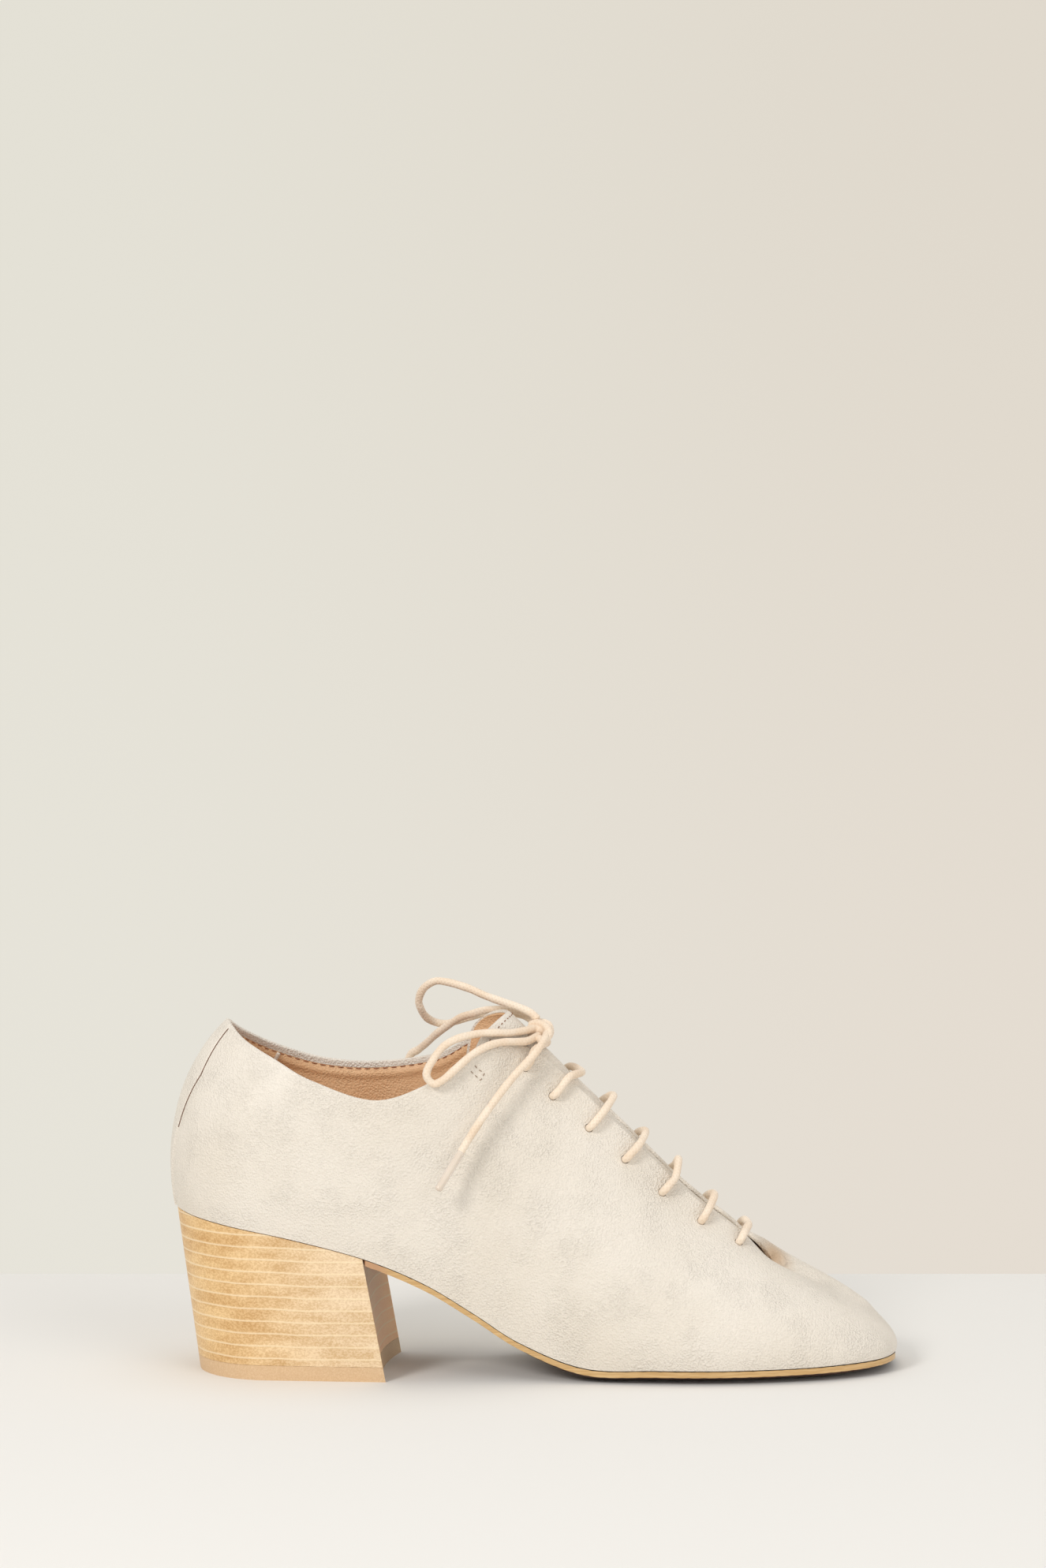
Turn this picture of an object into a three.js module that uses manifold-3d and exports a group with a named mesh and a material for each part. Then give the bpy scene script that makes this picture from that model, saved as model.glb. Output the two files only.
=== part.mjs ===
// A laced shoe with a block heel, right foot. Millimetres, +X to the toe, +Y to the inner side, +Z up.
// The origin is the centre of the heel's resting face, on the floor.
import * as THREE from 'three';
import { mergeVertices } from 'three/addons/utils/BufferGeometryUtils.js';
import Module from 'manifold-3d';

const wasm = await Module();
wasm.setup();

// Driving sizes of the last
const shoeLength = 243;
const ballWidth = 74;
const seatHeight = 55;
const instepHeight = 110;
const heelTurn = THREE.MathUtils.degToRad(4.6);

// Driving sizes of the upper
const wallThickness = 1.6;
const collarRoll = 0.5;
const stripStep = 0.5;
const creaseDepth = 2.2;
const creaseWidth = 4.6;

// Driving sizes of the sole, insole and tongue
const soleEdge = 1.9;
const soleMiddle = 3.1;
const soleCrown = 2.4;
const soleInset = 0.3;
const insoleThickness = 2;
const insoleFront = 0.93;
const tongueThickness = 1.8;
const tongueDepth = 13;

// Driving sizes of the heel
const heelLength = 65;
const heelWidth = 51;
const heelTopLength = 25;
const heelRound = 25;
const breastHollow = 3.2;
const topPieceHeight = 5;

// Driving sizes of the lace and its eyelets
const laceDiameter = 2.6;
const laceRows = 7;
const firstRow = 79;
const lastRow = 149.2;
const topHoleInset = 6.5;
const upperRowInset = 9.5;
const lowerRowInset = 5.6;
// How far the middle of each bar stands over the throat and slides down it, top bar first
const barRises = [3.9, 3.6, 5.2, 3.8, 5, 3.9, 2.8];
const barSlacks = [1.6, 3, 0, 0, -2, 0, 0.6];
const agletDiameter = 3;
const agletLength = 14;
const knotLength = 7.6;
const knotWidth = 9.6;
const knotHeight = 6.4;

// Clearances
const seatGap = 0.3;
const liningGap = 0.6;
const eyeletGap = 0.45;

// Mesh steps: round and up the upper, then along, across and through each block
const stepsPerStation = 2;
const stepsUp = 10;
const eyeletSides = 12;
const cordSides = 8;
const barSteps = 14;
const loopSteps = 18;
const nearEndSteps = 9;
const farEndSteps = 13;
const knotSteps = [14, 9];
const heelSteps = [12, 8, 4];
const topPieceSteps = [12, 8, 1];
const outsoleSteps = [32, 10, 1];
const insoleSteps = [30, 6, 1];
const tongueSteps = [14, 14, 1];

const halfBall = ballWidth / 2;

// Sections of the last, from the back of the heel round the outer side to the toe, then the inner side.
// along, topAlong and lean are hundredths of the shoe's length, measured from the heel's centre.
// across, topAcross and bulge are hundredths of half the ball width.
// seat is hundredths of the seat height; top, rise and drop are hundredths of the instep height.
// reach is hundredths of the flat way from the top edge to the feather edge.
const sectionColumns = [
  'along', 'across', 'seat', 'topAlong', 'topAcross', 'top', 'bulge', 'rise', 'reach', 'lean', 'drop',
];
const backSection = [-16.6, 8.6, 99.5, -9.5, 6.8, 106.2, 10, 15.5, 100, -0.6, 16.4];
const outerSections = [
  [-14.5, -33.8, 97.8, -7.2, -27, 101.8, 9.7, 15.5, 95, -0.4, 16.4],
  [-9.3, -60.8, 93.8, -2.6, -52.7, 96.5, 9.5, 15.5, 90, -0.4, 16.4],
  [-0.4, -75.7, 86.9, 2.5, -67, 90.7, 8.1, 14.5, 80, 0, 15.5],
  [9.5, -79.7, 75.6, 11.5, -73.5, 85.1, 5.4, 15.5, 80, 0, 15.5],
  [17.7, -76.2, 60, 20.3, -64.9, 91.9, 5.4, 20, 70, 0, 20],
  [24.3, -75.1, 42.2, 26.5, -44.6, 99.3, 8.1, 25.5, 75, -1.6, 23.6],
  [30.9, -76.2, 23.6, 32.5, -20.3, 98.2, 10.8, 27.3, 68, -3.3, 24.5],
  [39.5, -83.2, 9.5, 42.6, -14.9, 78.4, 12.2, 23.6, 62, -3.3, 20],
  [49, -90.3, 8.9, 53.5, -12.2, 54.9, 12.2, 18.2, 62, -2.1, 13.6],
  [58, -91.4, 8.9, 60.1, -8.6, 43.6, 11.6, 14.5, 62, -0.4, 8.2],
  [66.3, -84.3, 9.1, 63.4, -7, 37.6, 10.8, 11.8, 62, 0, 6.4],
  [73.7, -70.3, 9.5, 65.2, -5.1, 34.2, 9.7, 10, 55, 0, 6.4],
  [79.6, -47.3, 10, 66.2, -2.2, 32.5, 9.2, 8.2, 52, 0, 7.6],
  [82.2, -21.6, 10.7, 66.4, -0.3, 32, 8.6, 6.8, 50, 0, 8.4],
];
const toeSection = [82.8, 10.8, 11.3, 66.5, 1.6, 31.8, 8.1, 6.3, 50, 0, 8.6];
const innerSections = [
  [-13.8, 47.3, 97.6, -7.6, 31, 102.3, 9.7, 15.5, 95, -0.4, 16.4],
  [-8, 70.8, 93.1, -3.3, 56.8, 96.5, 9.5, 15.5, 90, -0.4, 16.4],
  [1.2, 76.5, 85.8, 3.3, 73, 91.2, 8.1, 15.5, 80, 0, 15.5],
  [10.7, 71.6, 74, 10.7, 75.7, 89.8, 6.8, 16.4, 50, 0, 16.4],
  [18.1, 62.2, 60.7, 19.5, 66.2, 92.7, 9.5, 21.8, 70, 0, 21.8],
  [24.7, 56.2, 43.6, 25.9, 47.3, 100, 12.2, 27.3, 75, -1.6, 24.5],
  [31.3, 60.8, 25.5, 32.5, 22.2, 98.7, 12.2, 29, 66, -3.3, 24.5],
  [39.9, 79.7, 10.2, 42.6, 17.8, 79.5, 12.2, 25.5, 62, -3.3, 19],
  [49.4, 98.6, 8.9, 53.5, 15.7, 56.4, 12.2, 20, 60, -2.1, 12.7],
  [59.3, 104.9, 8.9, 60.3, 12.2, 44.8, 11.6, 16.4, 60, -0.4, 7.3],
  [67.1, 102.7, 9.3, 63.6, 10.5, 38.5, 10.8, 13.6, 60, 0, 4.5],
  [73.9, 91.9, 9.6, 65.3, 8.6, 34.9, 9.7, 11.4, 55, 0, 4.1],
  [79.4, 71.6, 10.2, 66.2, 5.9, 32.9, 9.2, 8.6, 52, 0, 5.4],
  [82.1, 43.2, 10.7, 66.4, 3.8, 32.2, 8.6, 7, 50, 0, 6.8],
];

// Half width of the strip up the back, in sections, from the seat to the collar
const stripShares = [0.2, 0.34, 0.5, 0.62, 0.42];

// The tongue: share of its length, and how far its middle stands over the throat's edges,
// in hundredths of the instep height
const tongueColumns = ['share', 'rise'];
const tongueRows = [
  [0, 14.5],
  [0.1, 8.2],
  [0.22, 2.4],
  [0.4, -0.6],
  [1, -1.1],
];
const tongueTopStation = 5.75;
const tongueBaseStation = 11.2;

// The free parts of the lace, points chosen by hand along each
const nearLoop = [
  [79.9, -2.6, 114.6], [75.8, -7, 114.4], [70.6, -11.2, 114.3], [66.6, -13.8, 114.8],
  [62.5, -15.5, 114.9], [58.6, -17.5, 114.6], [54.7, -19.8, 113.9], [51.6, -21.3, 112.7],
  [49.2, -22.6, 111.2], [47.4, -23.8, 109.2], [46.1, -24.8, 107.3], [44.6, -26, 104.9],
  [44, -26.8, 102.6], [44.9, -26.5, 100.7], [46.7, -26.8, 99.6], [48.8, -26.5, 100.5],
  [50.8, -25.8, 101.9], [53.4, -24.5, 104.1], [56.3, -22.8, 106.5], [59.4, -20.2, 108.7],
  [63, -18.2, 110.5], [66.6, -16, 111.5], [70, -14.2, 111.8], [73.7, -12, 111.5],
  [77.4, -9.2, 111.4], [81, -5.3, 112.6],
];
const farLoop = [
  [80.4, 0.4, 117.6], [78.2, 1.6, 119.4], [74.2, 3.6, 121], [69.5, 6, 122.2],
  [65.7, 7.6, 123.3], [62.3, 9, 124.4], [58.1, 10.6, 126.1], [54.3, 12, 127.2],
  [50.1, 13.4, 128.1], [46.1, 15, 128.1], [42.3, 17, 125.4], [40.7, 18.8, 121.4],
  [41.2, 20.2, 118.3], [43, 23, 114.9], [45.9, 25.6, 112.8], [49.6, 27.2, 112],
  [53.6, 26.6, 113.1], [57.9, 25.2, 114.6], [62.2, 22.8, 116], [66.5, 20.2, 116.9],
  [70.5, 17.4, 117.1], [74.5, 14.2, 117], [77.9, 10.8, 116.1], [81.4, 6.6, 113.6],
];
const nearEnd = [
  [83.8, -6.7, 113.5], [82.9, -9.9, 112], [81.6, -12.6, 110.2], [80.1, -14.4, 108.4],
  [77.9, -15.6, 106], [73.6, -18.4, 101.9], [68.5, -22.9, 96.2], [63, -27, 89.2],
  [58.9, -30, 83.4], [55.3, -32.5, 77.8],
];
const farEnd = [
  [80.2, 5, 116.4], [78.2, 7.4, 117.7], [74.5, 9.4, 118.9], [70.5, 11.4, 119.3],
  [66.5, 13.4, 118.8], [62.8, 15.4, 118.2], [59, 17.2, 116.8], [55.3, 19, 115.5],
  [52.4, 20.8, 113.6], [49.7, 22.6, 111.5], [46.4, 25, 108.7], [43.2, 27.5, 105.4],
  [40.2, 30, 102.6], [37.5, 31.8, 100.4], [35, 33, 93], [33.5, 33.2, 84.5],
];
const knotCentre = [85.4, -0.8, 114.4];
const knotTilt = THREE.MathUtils.degToRad(38);

const finish = (color, roughness) => new THREE.MeshStandardMaterial({ color, roughness, metalness: 0 });
const leather = finish(0xece3d4, 0.5);
const lining = finish(0xb6895c, 0.7);
const soleLeather = finish(0xc99f6a, 0.6);
const stackedWood = finish(0xe1bd85, 0.5);
const heelRubber = finish(0xdbbb95, 0.7);
const cottonLace = finish(0xeae1d1, 0.8);
const clearPlastic = finish(0xe8e2d6, 0.2);

const vector = (x, y, z) => new THREE.Vector3(x, y, z);
const clamp = THREE.MathUtils.clamp;
const mix = (from, to, share) => from.clone().lerp(to, share);
const ease = (value, from, to) => THREE.MathUtils.smoothstep(value, from, to);

// Each row of numbers becomes an object with the table's column names
function readRow(columns, row) {
  return Object.fromEntries(columns.map((name, index) => [name, row[index]]));
}

const sectionRows = [backSection, ...outerSections, toeSection, ...innerSections.slice().reverse()]
  .map((row) => readRow(sectionColumns, row));
const stationCount = sectionRows.length;
const toeStation = outerSections.length + 1;

const featherPoints = sectionRows.map((row) => vector(
  (row.along * shoeLength) / 100,
  (row.across * halfBall) / 100,
  (row.seat * seatHeight) / 100,
));

// Outward direction of the feather edge, flat, at a section
function outwardAt(index) {
  const before = featherPoints[(index + stationCount - 1) % stationCount];
  const after = featherPoints[(index + 1) % stationCount];
  const way = after.clone().sub(before);
  return vector(way.y, -way.x, 0).normalize();
}

// Four control points of the cubic that rises from the feather edge to the top edge at each section
const sectionCurves = sectionRows.map((row, index) => {
  const feather = featherPoints[index];
  const top = vector(
    (row.topAlong * shoeLength) / 100,
    (row.topAcross * halfBall) / 100,
    (row.top * instepHeight) / 100,
  );
  const low = feather.clone().addScaledVector(outwardAt(index), (row.bulge * halfBall) / 100);
  low.z += (row.rise * instepHeight) / 100;
  const high = top.clone();
  high.x += ((feather.x - top.x) * row.reach) / 100 + (row.lean * shoeLength) / 100;
  high.y += ((feather.y - top.y) * row.reach) / 100;
  high.z -= (row.drop * instepHeight) / 100;
  return [feather, low, high, top];
});

// Smooth closed curve through one control point of every section
function alongSections(station, control) {
  const wrapped = ((station % stationCount) + stationCount) % stationCount;
  const first = Math.floor(wrapped);
  const t = wrapped - first;
  const pick = (offset) => sectionCurves[(first + offset + stationCount) % stationCount][control];
  const [a, b, c, d] = [pick(-1), pick(0), pick(1), pick(2)];
  const blend = (axis) => 0.5 * (2 * b[axis] + (c[axis] - a[axis]) * t
    + (2 * a[axis] - 5 * b[axis] + 4 * c[axis] - d[axis]) * t * t
    + (3 * b[axis] - a[axis] - 3 * c[axis] + d[axis]) * t * t * t);
  return vector(blend('x'), blend('y'), blend('z'));
}

// The fold that runs on from the throat's base towards the toe
const creaseStart = [0.613, 0.655].map((share) => share * shoeLength);
const creaseEnd = [0.69, 0.765].map((share) => share * shoeLength);
const creaseSide = 0.02;
const creaseSlant = 0.3;
function creaseAt(point) {
  const middle = creaseSide * halfBall + Math.max(0, point.x - creaseStart[1]) * creaseSlant;
  const length = ease(point.x, ...creaseStart) * (1 - ease(point.x, ...creaseEnd));
  return creaseDepth * length * Math.exp(-(((point.y - middle) / creaseWidth) ** 2));
}

// Outer surface of the upper: station runs round the shoe, share runs from the feather edge to the top
function upperSurface(station, share) {
  const rest = 1 - share;
  const weights = [rest ** 3, 3 * share * rest ** 2, 3 * share ** 2 * rest, share ** 3];
  const point = vector(0, 0, 0);
  weights.forEach((weight, control) => point.addScaledVector(alongSections(station, control), weight));
  point.z -= creaseAt(point);
  return point;
}

// Outward direction of that surface, from two short steps over it
const small = 0.02;
function upperNormal(station, share) {
  const low = clamp(share - small, 0, 1);
  const high = clamp(share + small, 0, 1);
  const around = upperSurface(station + small, share).sub(upperSurface(station - small, share));
  const upward = upperSurface(station, high).sub(upperSurface(station, low));
  return around.cross(upward).normalize();
}

function insideUpper(station, share, depth) {
  return upperSurface(station, share).addScaledVector(upperNormal(station, share), -depth);
}

// Finds the value between two ends at which a rising or falling reading meets its target
const solveRounds = 40;
function solve(low, high, reading, target) {
  const rising = reading(high) > reading(low);
  let [from, to] = [low, high];
  for (let round = 0; round < solveRounds; round += 1) {
    const middle = (from + to) / 2;
    if ((reading(middle) < target) === rising) from = middle;
    else to = middle;
  }
  return (from + to) / 2;
}

// Mesh from a position list and faces, with shared corners merged and flat slivers dropped
const mergeReach = 1e-3;
function closedGeometry(positions, indices) {
  const geometry = new THREE.BufferGeometry();
  geometry.setAttribute('position', new THREE.Float32BufferAttribute(positions, 3));
  geometry.setIndex(indices);
  const merged = mergeVertices(geometry, mergeReach);
  const old = merged.index.array;
  const kept = [];
  for (let face = 0; face < old.length; face += 3) {
    const [a, b, c] = [old[face], old[face + 1], old[face + 2]];
    if (a !== b && b !== c && c !== a) kept.push(a, b, c);
  }
  merged.setIndex(kept);
  return merged;
}

// A closed solid whose six faces are those of a unit cube, carried by place(a, b, c)
function blockGeometry(place, countA, countB, countC) {
  const positions = [];
  const indices = [];
  const addFace = (carry, countS, countT) => {
    const start = positions.length / 3;
    for (let s = 0; s <= countS; s += 1) {
      for (let t = 0; t <= countT; t += 1) positions.push(...carry(s / countS, t / countT).toArray());
    }
    for (let s = 0; s < countS; s += 1) {
      for (let t = 0; t < countT; t += 1) {
        const corner = start + s * (countT + 1) + t;
        const across = corner + countT + 1;
        indices.push(corner, across, across + 1, corner, across + 1, corner + 1);
      }
    }
  };
  addFace((s, t) => place(s, t, 1), countA, countB);
  addFace((s, t) => place(t, s, 0), countB, countA);
  addFace((s, t) => place(1, s, t), countB, countC);
  addFace((s, t) => place(0, t, s), countC, countB);
  addFace((s, t) => place(t, 1, s), countC, countA);
  addFace((s, t) => place(s, 0, t), countA, countC);
  return closedGeometry(positions, indices);
}

// A closed ring-shaped solid: loops of points, each joined to the next and the last to the first
function ringGeometry(loops) {
  const size = loops[0].length;
  const positions = loops.flat().flatMap((point) => point.toArray());
  const indices = [];
  loops.forEach((_, ring) => {
    const next = (ring + 1) % loops.length;
    for (let k = 0; k < size; k += 1) {
      const after = (k + 1) % size;
      const [a, b, c, d] = [ring * size + k, next * size + k, next * size + after, ring * size + after];
      indices.push(a, b, c, a, c, d);
    }
  });
  return closedGeometry(positions, indices);
}

function toSolid(geometry) {
  const bare = geometry.clone();
  bare.deleteAttribute('normal');
  bare.deleteAttribute('uv');
  const merged = mergeVertices(bare, mergeReach / 10);
  return new wasm.Manifold(new wasm.Mesh({
    numProp: 3,
    vertProperties: merged.attributes.position.array,
    triVerts: new Uint32Array(merged.index.array),
  }));
}

function fromSolid(solid) {
  const mesh = solid.getMesh();
  const geometry = new THREE.BufferGeometry();
  geometry.setAttribute('position', new THREE.Float32BufferAttribute(mesh.vertProperties, mesh.numProp));
  geometry.setIndex(new THREE.BufferAttribute(mesh.triVerts, 1));
  return geometry;
}

// Tube of a diameter along points
function cordGeometry(points, diameter, steps) {
  const section = new THREE.Shape();
  for (let side = 0; side < cordSides; side += 1) {
    const angle = (side / cordSides) * 2 * Math.PI;
    const corner = [Math.cos(angle) * (diameter / 2), Math.sin(angle) * (diameter / 2)];
    if (side === 0) section.moveTo(...corner);
    else section.lineTo(...corner);
  }
  const path = new THREE.CatmullRomCurve3(points, false, 'centripetal');
  return new THREE.ExtrudeGeometry(section, { steps, extrudePath: path, bevelEnabled: false });
}

// Share of the back strip's step that a point of the grid carries, and the section it stands at
function stripHalf(share) {
  const place = share * (stripShares.length - 1);
  const row = Math.min(Math.floor(place), stripShares.length - 2);
  return THREE.MathUtils.lerp(stripShares[row], stripShares[row + 1], place - row);
}

// Grid places round the shoe; the strip's edges are two close lines, one raised and one on the wall
function gridPlaces() {
  const places = [];
  const add = (kind, value) => places.push({ kind, value });
  add('strip', 0);
  add('strip', 1);
  add('foot', 1);
  add('side', 0.5);
  for (let step = stepsPerStation; step <= (stationCount - 1) * stepsPerStation; step += 1) {
    add('wall', step / stepsPerStation);
  }
  add('side', -0.5);
  add('foot', -1);
  add('strip', -1);
  return places;
}

// Width of the slope at the foot of the strip's step, in sections
const footWidth = 0.04;
function stationAt(place, share) {
  if (place.kind === 'wall') return place.value;
  const half = stripHalf(share);
  if (place.kind === 'strip') return place.value * half;
  if (place.kind === 'foot') return place.value * (half + footWidth);
  return Math.sign(place.value) * (half + footWidth + 1) / 2;
}

// Share of a section's height just under its top edge
const nearTop = 0.97;
function upperGeometry() {
  const loops = gridPlaces().map((place) => {
    const loop = [];
    const step = place.kind === 'strip' ? stripStep : 0;
    for (let row = 0; row <= stepsUp; row += 1) {
      const share = row / stepsUp;
      loop.push(insideUpper(stationAt(place, share), share, -step));
    }
    const edge = insideUpper(stationAt(place, 1), 1, wallThickness / 2);
    const below = upperSurface(stationAt(place, 1), nearTop);
    const edgeUp = upperSurface(stationAt(place, 1), 1).sub(below).normalize();
    loop.push(edge.addScaledVector(edgeUp, collarRoll));
    for (let row = stepsUp; row >= 0; row -= 1) {
      const share = row / stepsUp;
      loop.push(insideUpper(stationAt(place, share), share, wallThickness));
    }
    return loop;
  });
  return ringGeometry(loops);
}

// Share of the way up a section at which the wall is a depth below its top edge
function heightBelow(station, depth) {
  const edge = upperSurface(station, 1);
  return solve(0.5, 1, (value) => upperSurface(station, value).distanceTo(edge), depth);
}

// Eyelets, one row on each side of the throat; each hole lies square to the edge from its bar's crossing.
// The top pair stands closer to the edge.
const throatTop = 7;
const throatBase = 12;
const outerThroat = [throatTop, throatBase];
const innerThroat = [stationCount - throatBase, stationCount - throatTop];
function eyeletAt(side, row) {
  const share = row / (laceRows - 1);
  const along = THREE.MathUtils.lerp(firstRow, lastRow, share);
  const inset = row === 0 ? topHoleInset : THREE.MathUtils.lerp(upperRowInset, lowerRowInset, share);
  const station = solve(...side, (value) => alongSections(value, 3).x, along);
  const edge = upperSurface(station, 1);
  const way = upperSurface(station + small, 1).sub(upperSurface(station - small, 1)).normalize();
  const square = (value) => upperSurface(value, heightBelow(value, inset)).sub(edge).dot(way);
  const mouthStation = solve(station - 1, station + 1, square, 0);
  const height = heightBelow(mouthStation, inset);
  return {
    station,
    edge,
    mouth: upperSurface(mouthStation, height),
    out: upperNormal(mouthStation, height),
    edgeOut: upperNormal(station, nearTop),
  };
}

function eyeletCutter(eyelet) {
  const reach = 3 * wallThickness;
  const cutter = new THREE.CylinderGeometry(
    laceDiameter / 2 + eyeletGap,
    laceDiameter / 2 + eyeletGap,
    2 * reach,
    eyeletSides,
  );
  cutter.applyQuaternion(new THREE.Quaternion().setFromUnitVectors(vector(0, 1, 0), eyelet.out));
  cutter.translate(...eyelet.mouth.toArray());
  return toSolid(cutter);
}

const eyeletPairs = Array.from({ length: laceRows }, (_, row) => [
  eyeletAt(outerThroat, row),
  eyeletAt(innerThroat, row),
]);

function piercedUpper() {
  let solid = toSolid(upperGeometry());
  eyeletPairs.flat().forEach((eyelet) => {
    solid = solid.subtract(eyeletCutter(eyelet));
  });
  return fromSolid(solid);
}

// One bar of the lace: out of one eyelet, over the ridge of the throat and into the other.
// It leaves the hole square to the wall, then lies this far over the wall and along it.
const throatWay = alongSections(throatBase, 3).sub(alongSections(throatTop, 3)).setY(0).normalize();
const radius = laceDiameter / 2;
const overWall = radius + 3 * seatGap;
const overEdge = radius + 1.4 * seatGap + 0.4;
const bendStart = radius / 5;
const bendEnd = radius * 1.7;
function barPoints([outer, inner], row) {
  const ridge = mix(outer.edge, inner.edge, 0.5).addScaledVector(throatWay, barSlacks[row]);
  const across = inner.edge.clone().sub(outer.edge).normalize();
  const lift = outer.edgeOut.clone().add(inner.edgeOut);
  lift.addScaledVector(across, -lift.dot(across)).normalize();
  const half = (eyelet) => {
    const toEdge = eyelet.edge.clone().sub(eyelet.mouth).normalize();
    const at = (outBy, alongBy) => eyelet.mouth.clone()
      .addScaledVector(eyelet.out, outBy)
      .addScaledVector(toEdge, alongBy);
    const shoulder = eyelet.edge.clone().addScaledVector(eyelet.edgeOut, overEdge);
    return [
      at(-wallThickness, 0),
      at(-wallThickness / 3, 0),
      at(radius, bendStart),
      at(overWall, bendEnd),
      shoulder,
    ];
  };
  const tongueShare = (outer.station - tongueTopStation) / (tongueBaseStation - tongueTopStation);
  const overTongue = tongueRise(tongueShare) + radius + 2 * seatGap;
  const apex = ridge.addScaledVector(lift, Math.max(barRises[row], overTongue));
  return [...half(outer), apex, ...half(inner).reverse()];
}

// Footprint patch: plan of the last between two sections at the back and the toe's corners,
// a runs from back to toe, b from the outer to the inner side
const toeCorner = [toeStation - 2, toeStation + 2];
function patchPoint(a, b, sides) {
  const along = mix(sides.outer(a), sides.inner(a), b);
  const over = mix(sides.back(b), sides.front(b), a);
  const corners = mix(
    mix(sides.outer(0), sides.inner(0), b),
    mix(sides.outer(1), sides.inner(1), b),
    a,
  );
  return along.add(over).sub(corners);
}

function featherAt(station, inset) {
  const point = alongSections(station, 0);
  const way = alongSections(station + small, 0).sub(alongSections(station - small, 0));
  return point.addScaledVector(vector(way.y, -way.x, 0).normalize(), -inset);
}

// Heel plan, in the heel's own turned frame
const toShoe = (x, y) => vector(
  x * Math.cos(heelTurn) + y * Math.sin(heelTurn),
  y * Math.cos(heelTurn) - x * Math.sin(heelTurn),
  0,
);
const alongHeel = (point) => point.x * Math.cos(heelTurn) - point.y * Math.sin(heelTurn);
const breastStations = [
  solve(2, 6, (station) => alongHeel(alongSections(station, 0)), heelTopLength),
  solve(stationCount - 2, stationCount - 6, (s) => alongHeel(alongSections(s, 0)), heelTopLength),
];

const lerpStation = THREE.MathUtils.lerp;
const hollowAt = (b) => breastHollow * 4 * b * (1 - b);

// Rounding of the last's bottom across the forefoot, at a share of the width from the outer side
const crownStart = [0.25, 0.42].map((share) => share * shoeLength);
const crownEnd = [0.72, 0.82].map((share) => share * shoeLength);
const crownLoss = 0.5;
function crownAt(x, across) {
  const length = ease(x, ...crownStart) * (1 - crownLoss * ease(x, ...crownEnd));
  const edge = (2 * across - 1) ** 2;
  return soleCrown * length * (1 - edge) * (1 + edge);
}

// The surface under the foot: between the two feather edges, rounded down across the forefoot
function seatPoint(plan, offset) {
  const x = clamp(plan.x, featherPoints[0].x, featherPoints[toeStation].x);
  const side = (from, to) => alongSections(solve(from, to, (s) => alongSections(s, 0).x, x), 0);
  const [outer, inner] = [side(0, toeStation), side(stationCount, toeStation)];
  const width = Math.max(1, inner.y - outer.y);
  const across = clamp((plan.y - outer.y) / width, 0, 1);
  const height = lerpStation(outer.z, inner.z, across) - crownAt(x, across);
  return vector(plan.x, plan.y, height + offset);
}

// Front edge of the heel's top, hollowed towards the back; forward moves it on
function breastLine(b, inset, forward) {
  const line = mix(featherAt(breastStations[0], inset), featherAt(breastStations[1], inset), b);
  return line.add(toShoe(forward - hollowAt(b), 0));
}

function seatSides(inset) {
  return {
    outer: (a) => featherAt(lerpStation(1, breastStations[0], a), inset),
    inner: (a) => featherAt(lerpStation(stationCount - 1, breastStations[1], a), inset),
    back: (b) => featherAt(lerpStation(1, -1, b), inset),
    front: (b) => breastLine(b, inset, 0),
  };
}

// Outline of the heel's resting face: straight sides and a half ellipse at the back.
// turn runs from the back's middle, 0, to the breast's corners, -1 and 1.
const round = 0.55;
function restOutline(turn) {
  const side = Math.sign(turn);
  const straight = heelLength - heelRound;
  const sweep = Math.abs(turn);
  if (sweep > round) {
    const x = ((sweep - round) / (1 - round)) * straight - heelLength / 2 + heelRound;
    return toShoe(x, (side * heelWidth) / 2);
  }
  const angle = (sweep / round) * (Math.PI / 2);
  return toShoe(
    -heelLength / 2 + heelRound * (1 - Math.cos(angle)),
    side * (heelWidth / 2) * Math.sin(angle),
  );
}

const backTurn = 0.28;
const restSides = {
  outer: (a) => restOutline(-lerpStation(backTurn, 1, a)),
  inner: (a) => restOutline(lerpStation(backTurn, 1, a)),
  back: (b) => restOutline(lerpStation(-backTurn, backTurn, b)),
  front: (b) => mix(restOutline(-1), restOutline(1), b).add(toShoe(-hollowAt(b), 0)),
};

function heelPoint(a, b, share) {
  const top = seatPoint(patchPoint(a, b, seatSides(soleInset)), -seatGap);
  return mix(patchPoint(a, b, restSides), top, share);
}

function heelBlock() {
  return blockGeometry((a, b, c) => {
    const whole = heelPoint(a, b, 1).z;
    const low = topPieceHeight / whole;
    return heelPoint(a, b, lerpStation(low, 1, c));
  }, ...heelSteps);
}

function topPiece() {
  const place = (a, b, c) => heelPoint(a, b, (c * topPieceHeight) / heelPoint(a, b, 1).z);
  return blockGeometry(place, ...topPieceSteps);
}

const breastLean = (heelLength / 2 - heelTopLength) / alongSections(breastStations[0], 0).z;
const soleStart = seatGap + breastLean * (soleMiddle + seatGap);
function forefootSides(inset) {
  return {
    outer: (a) => featherAt(lerpStation(breastStations[0], toeCorner[0], a), inset),
    inner: (a) => featherAt(lerpStation(breastStations[1], toeCorner[1], a), inset),
    back: (b) => breastLine(b, inset, soleStart),
    front: (b) => featherAt(lerpStation(toeCorner[0], toeCorner[1], b), inset),
  };
}

// The outsole thins towards its sides and over a share of its length at each end
const thinEnd = 0.25;
function outsole() {
  const sides = forefootSides(soleInset);
  return blockGeometry((a, b, c) => {
    const point = seatPoint(patchPoint(a, b, sides), -seatGap);
    const end = Math.min(a, 1 - a, thinEnd) / thinEnd;
    const thickness = lerpStation(soleEdge, soleMiddle, 1 - Math.max((2 * b - 1) ** 4, 1 - end));
    if (c < 0.5) point.z = Math.max(0, point.z - thickness);
    return point;
  }, ...outsoleSteps);
}

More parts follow.
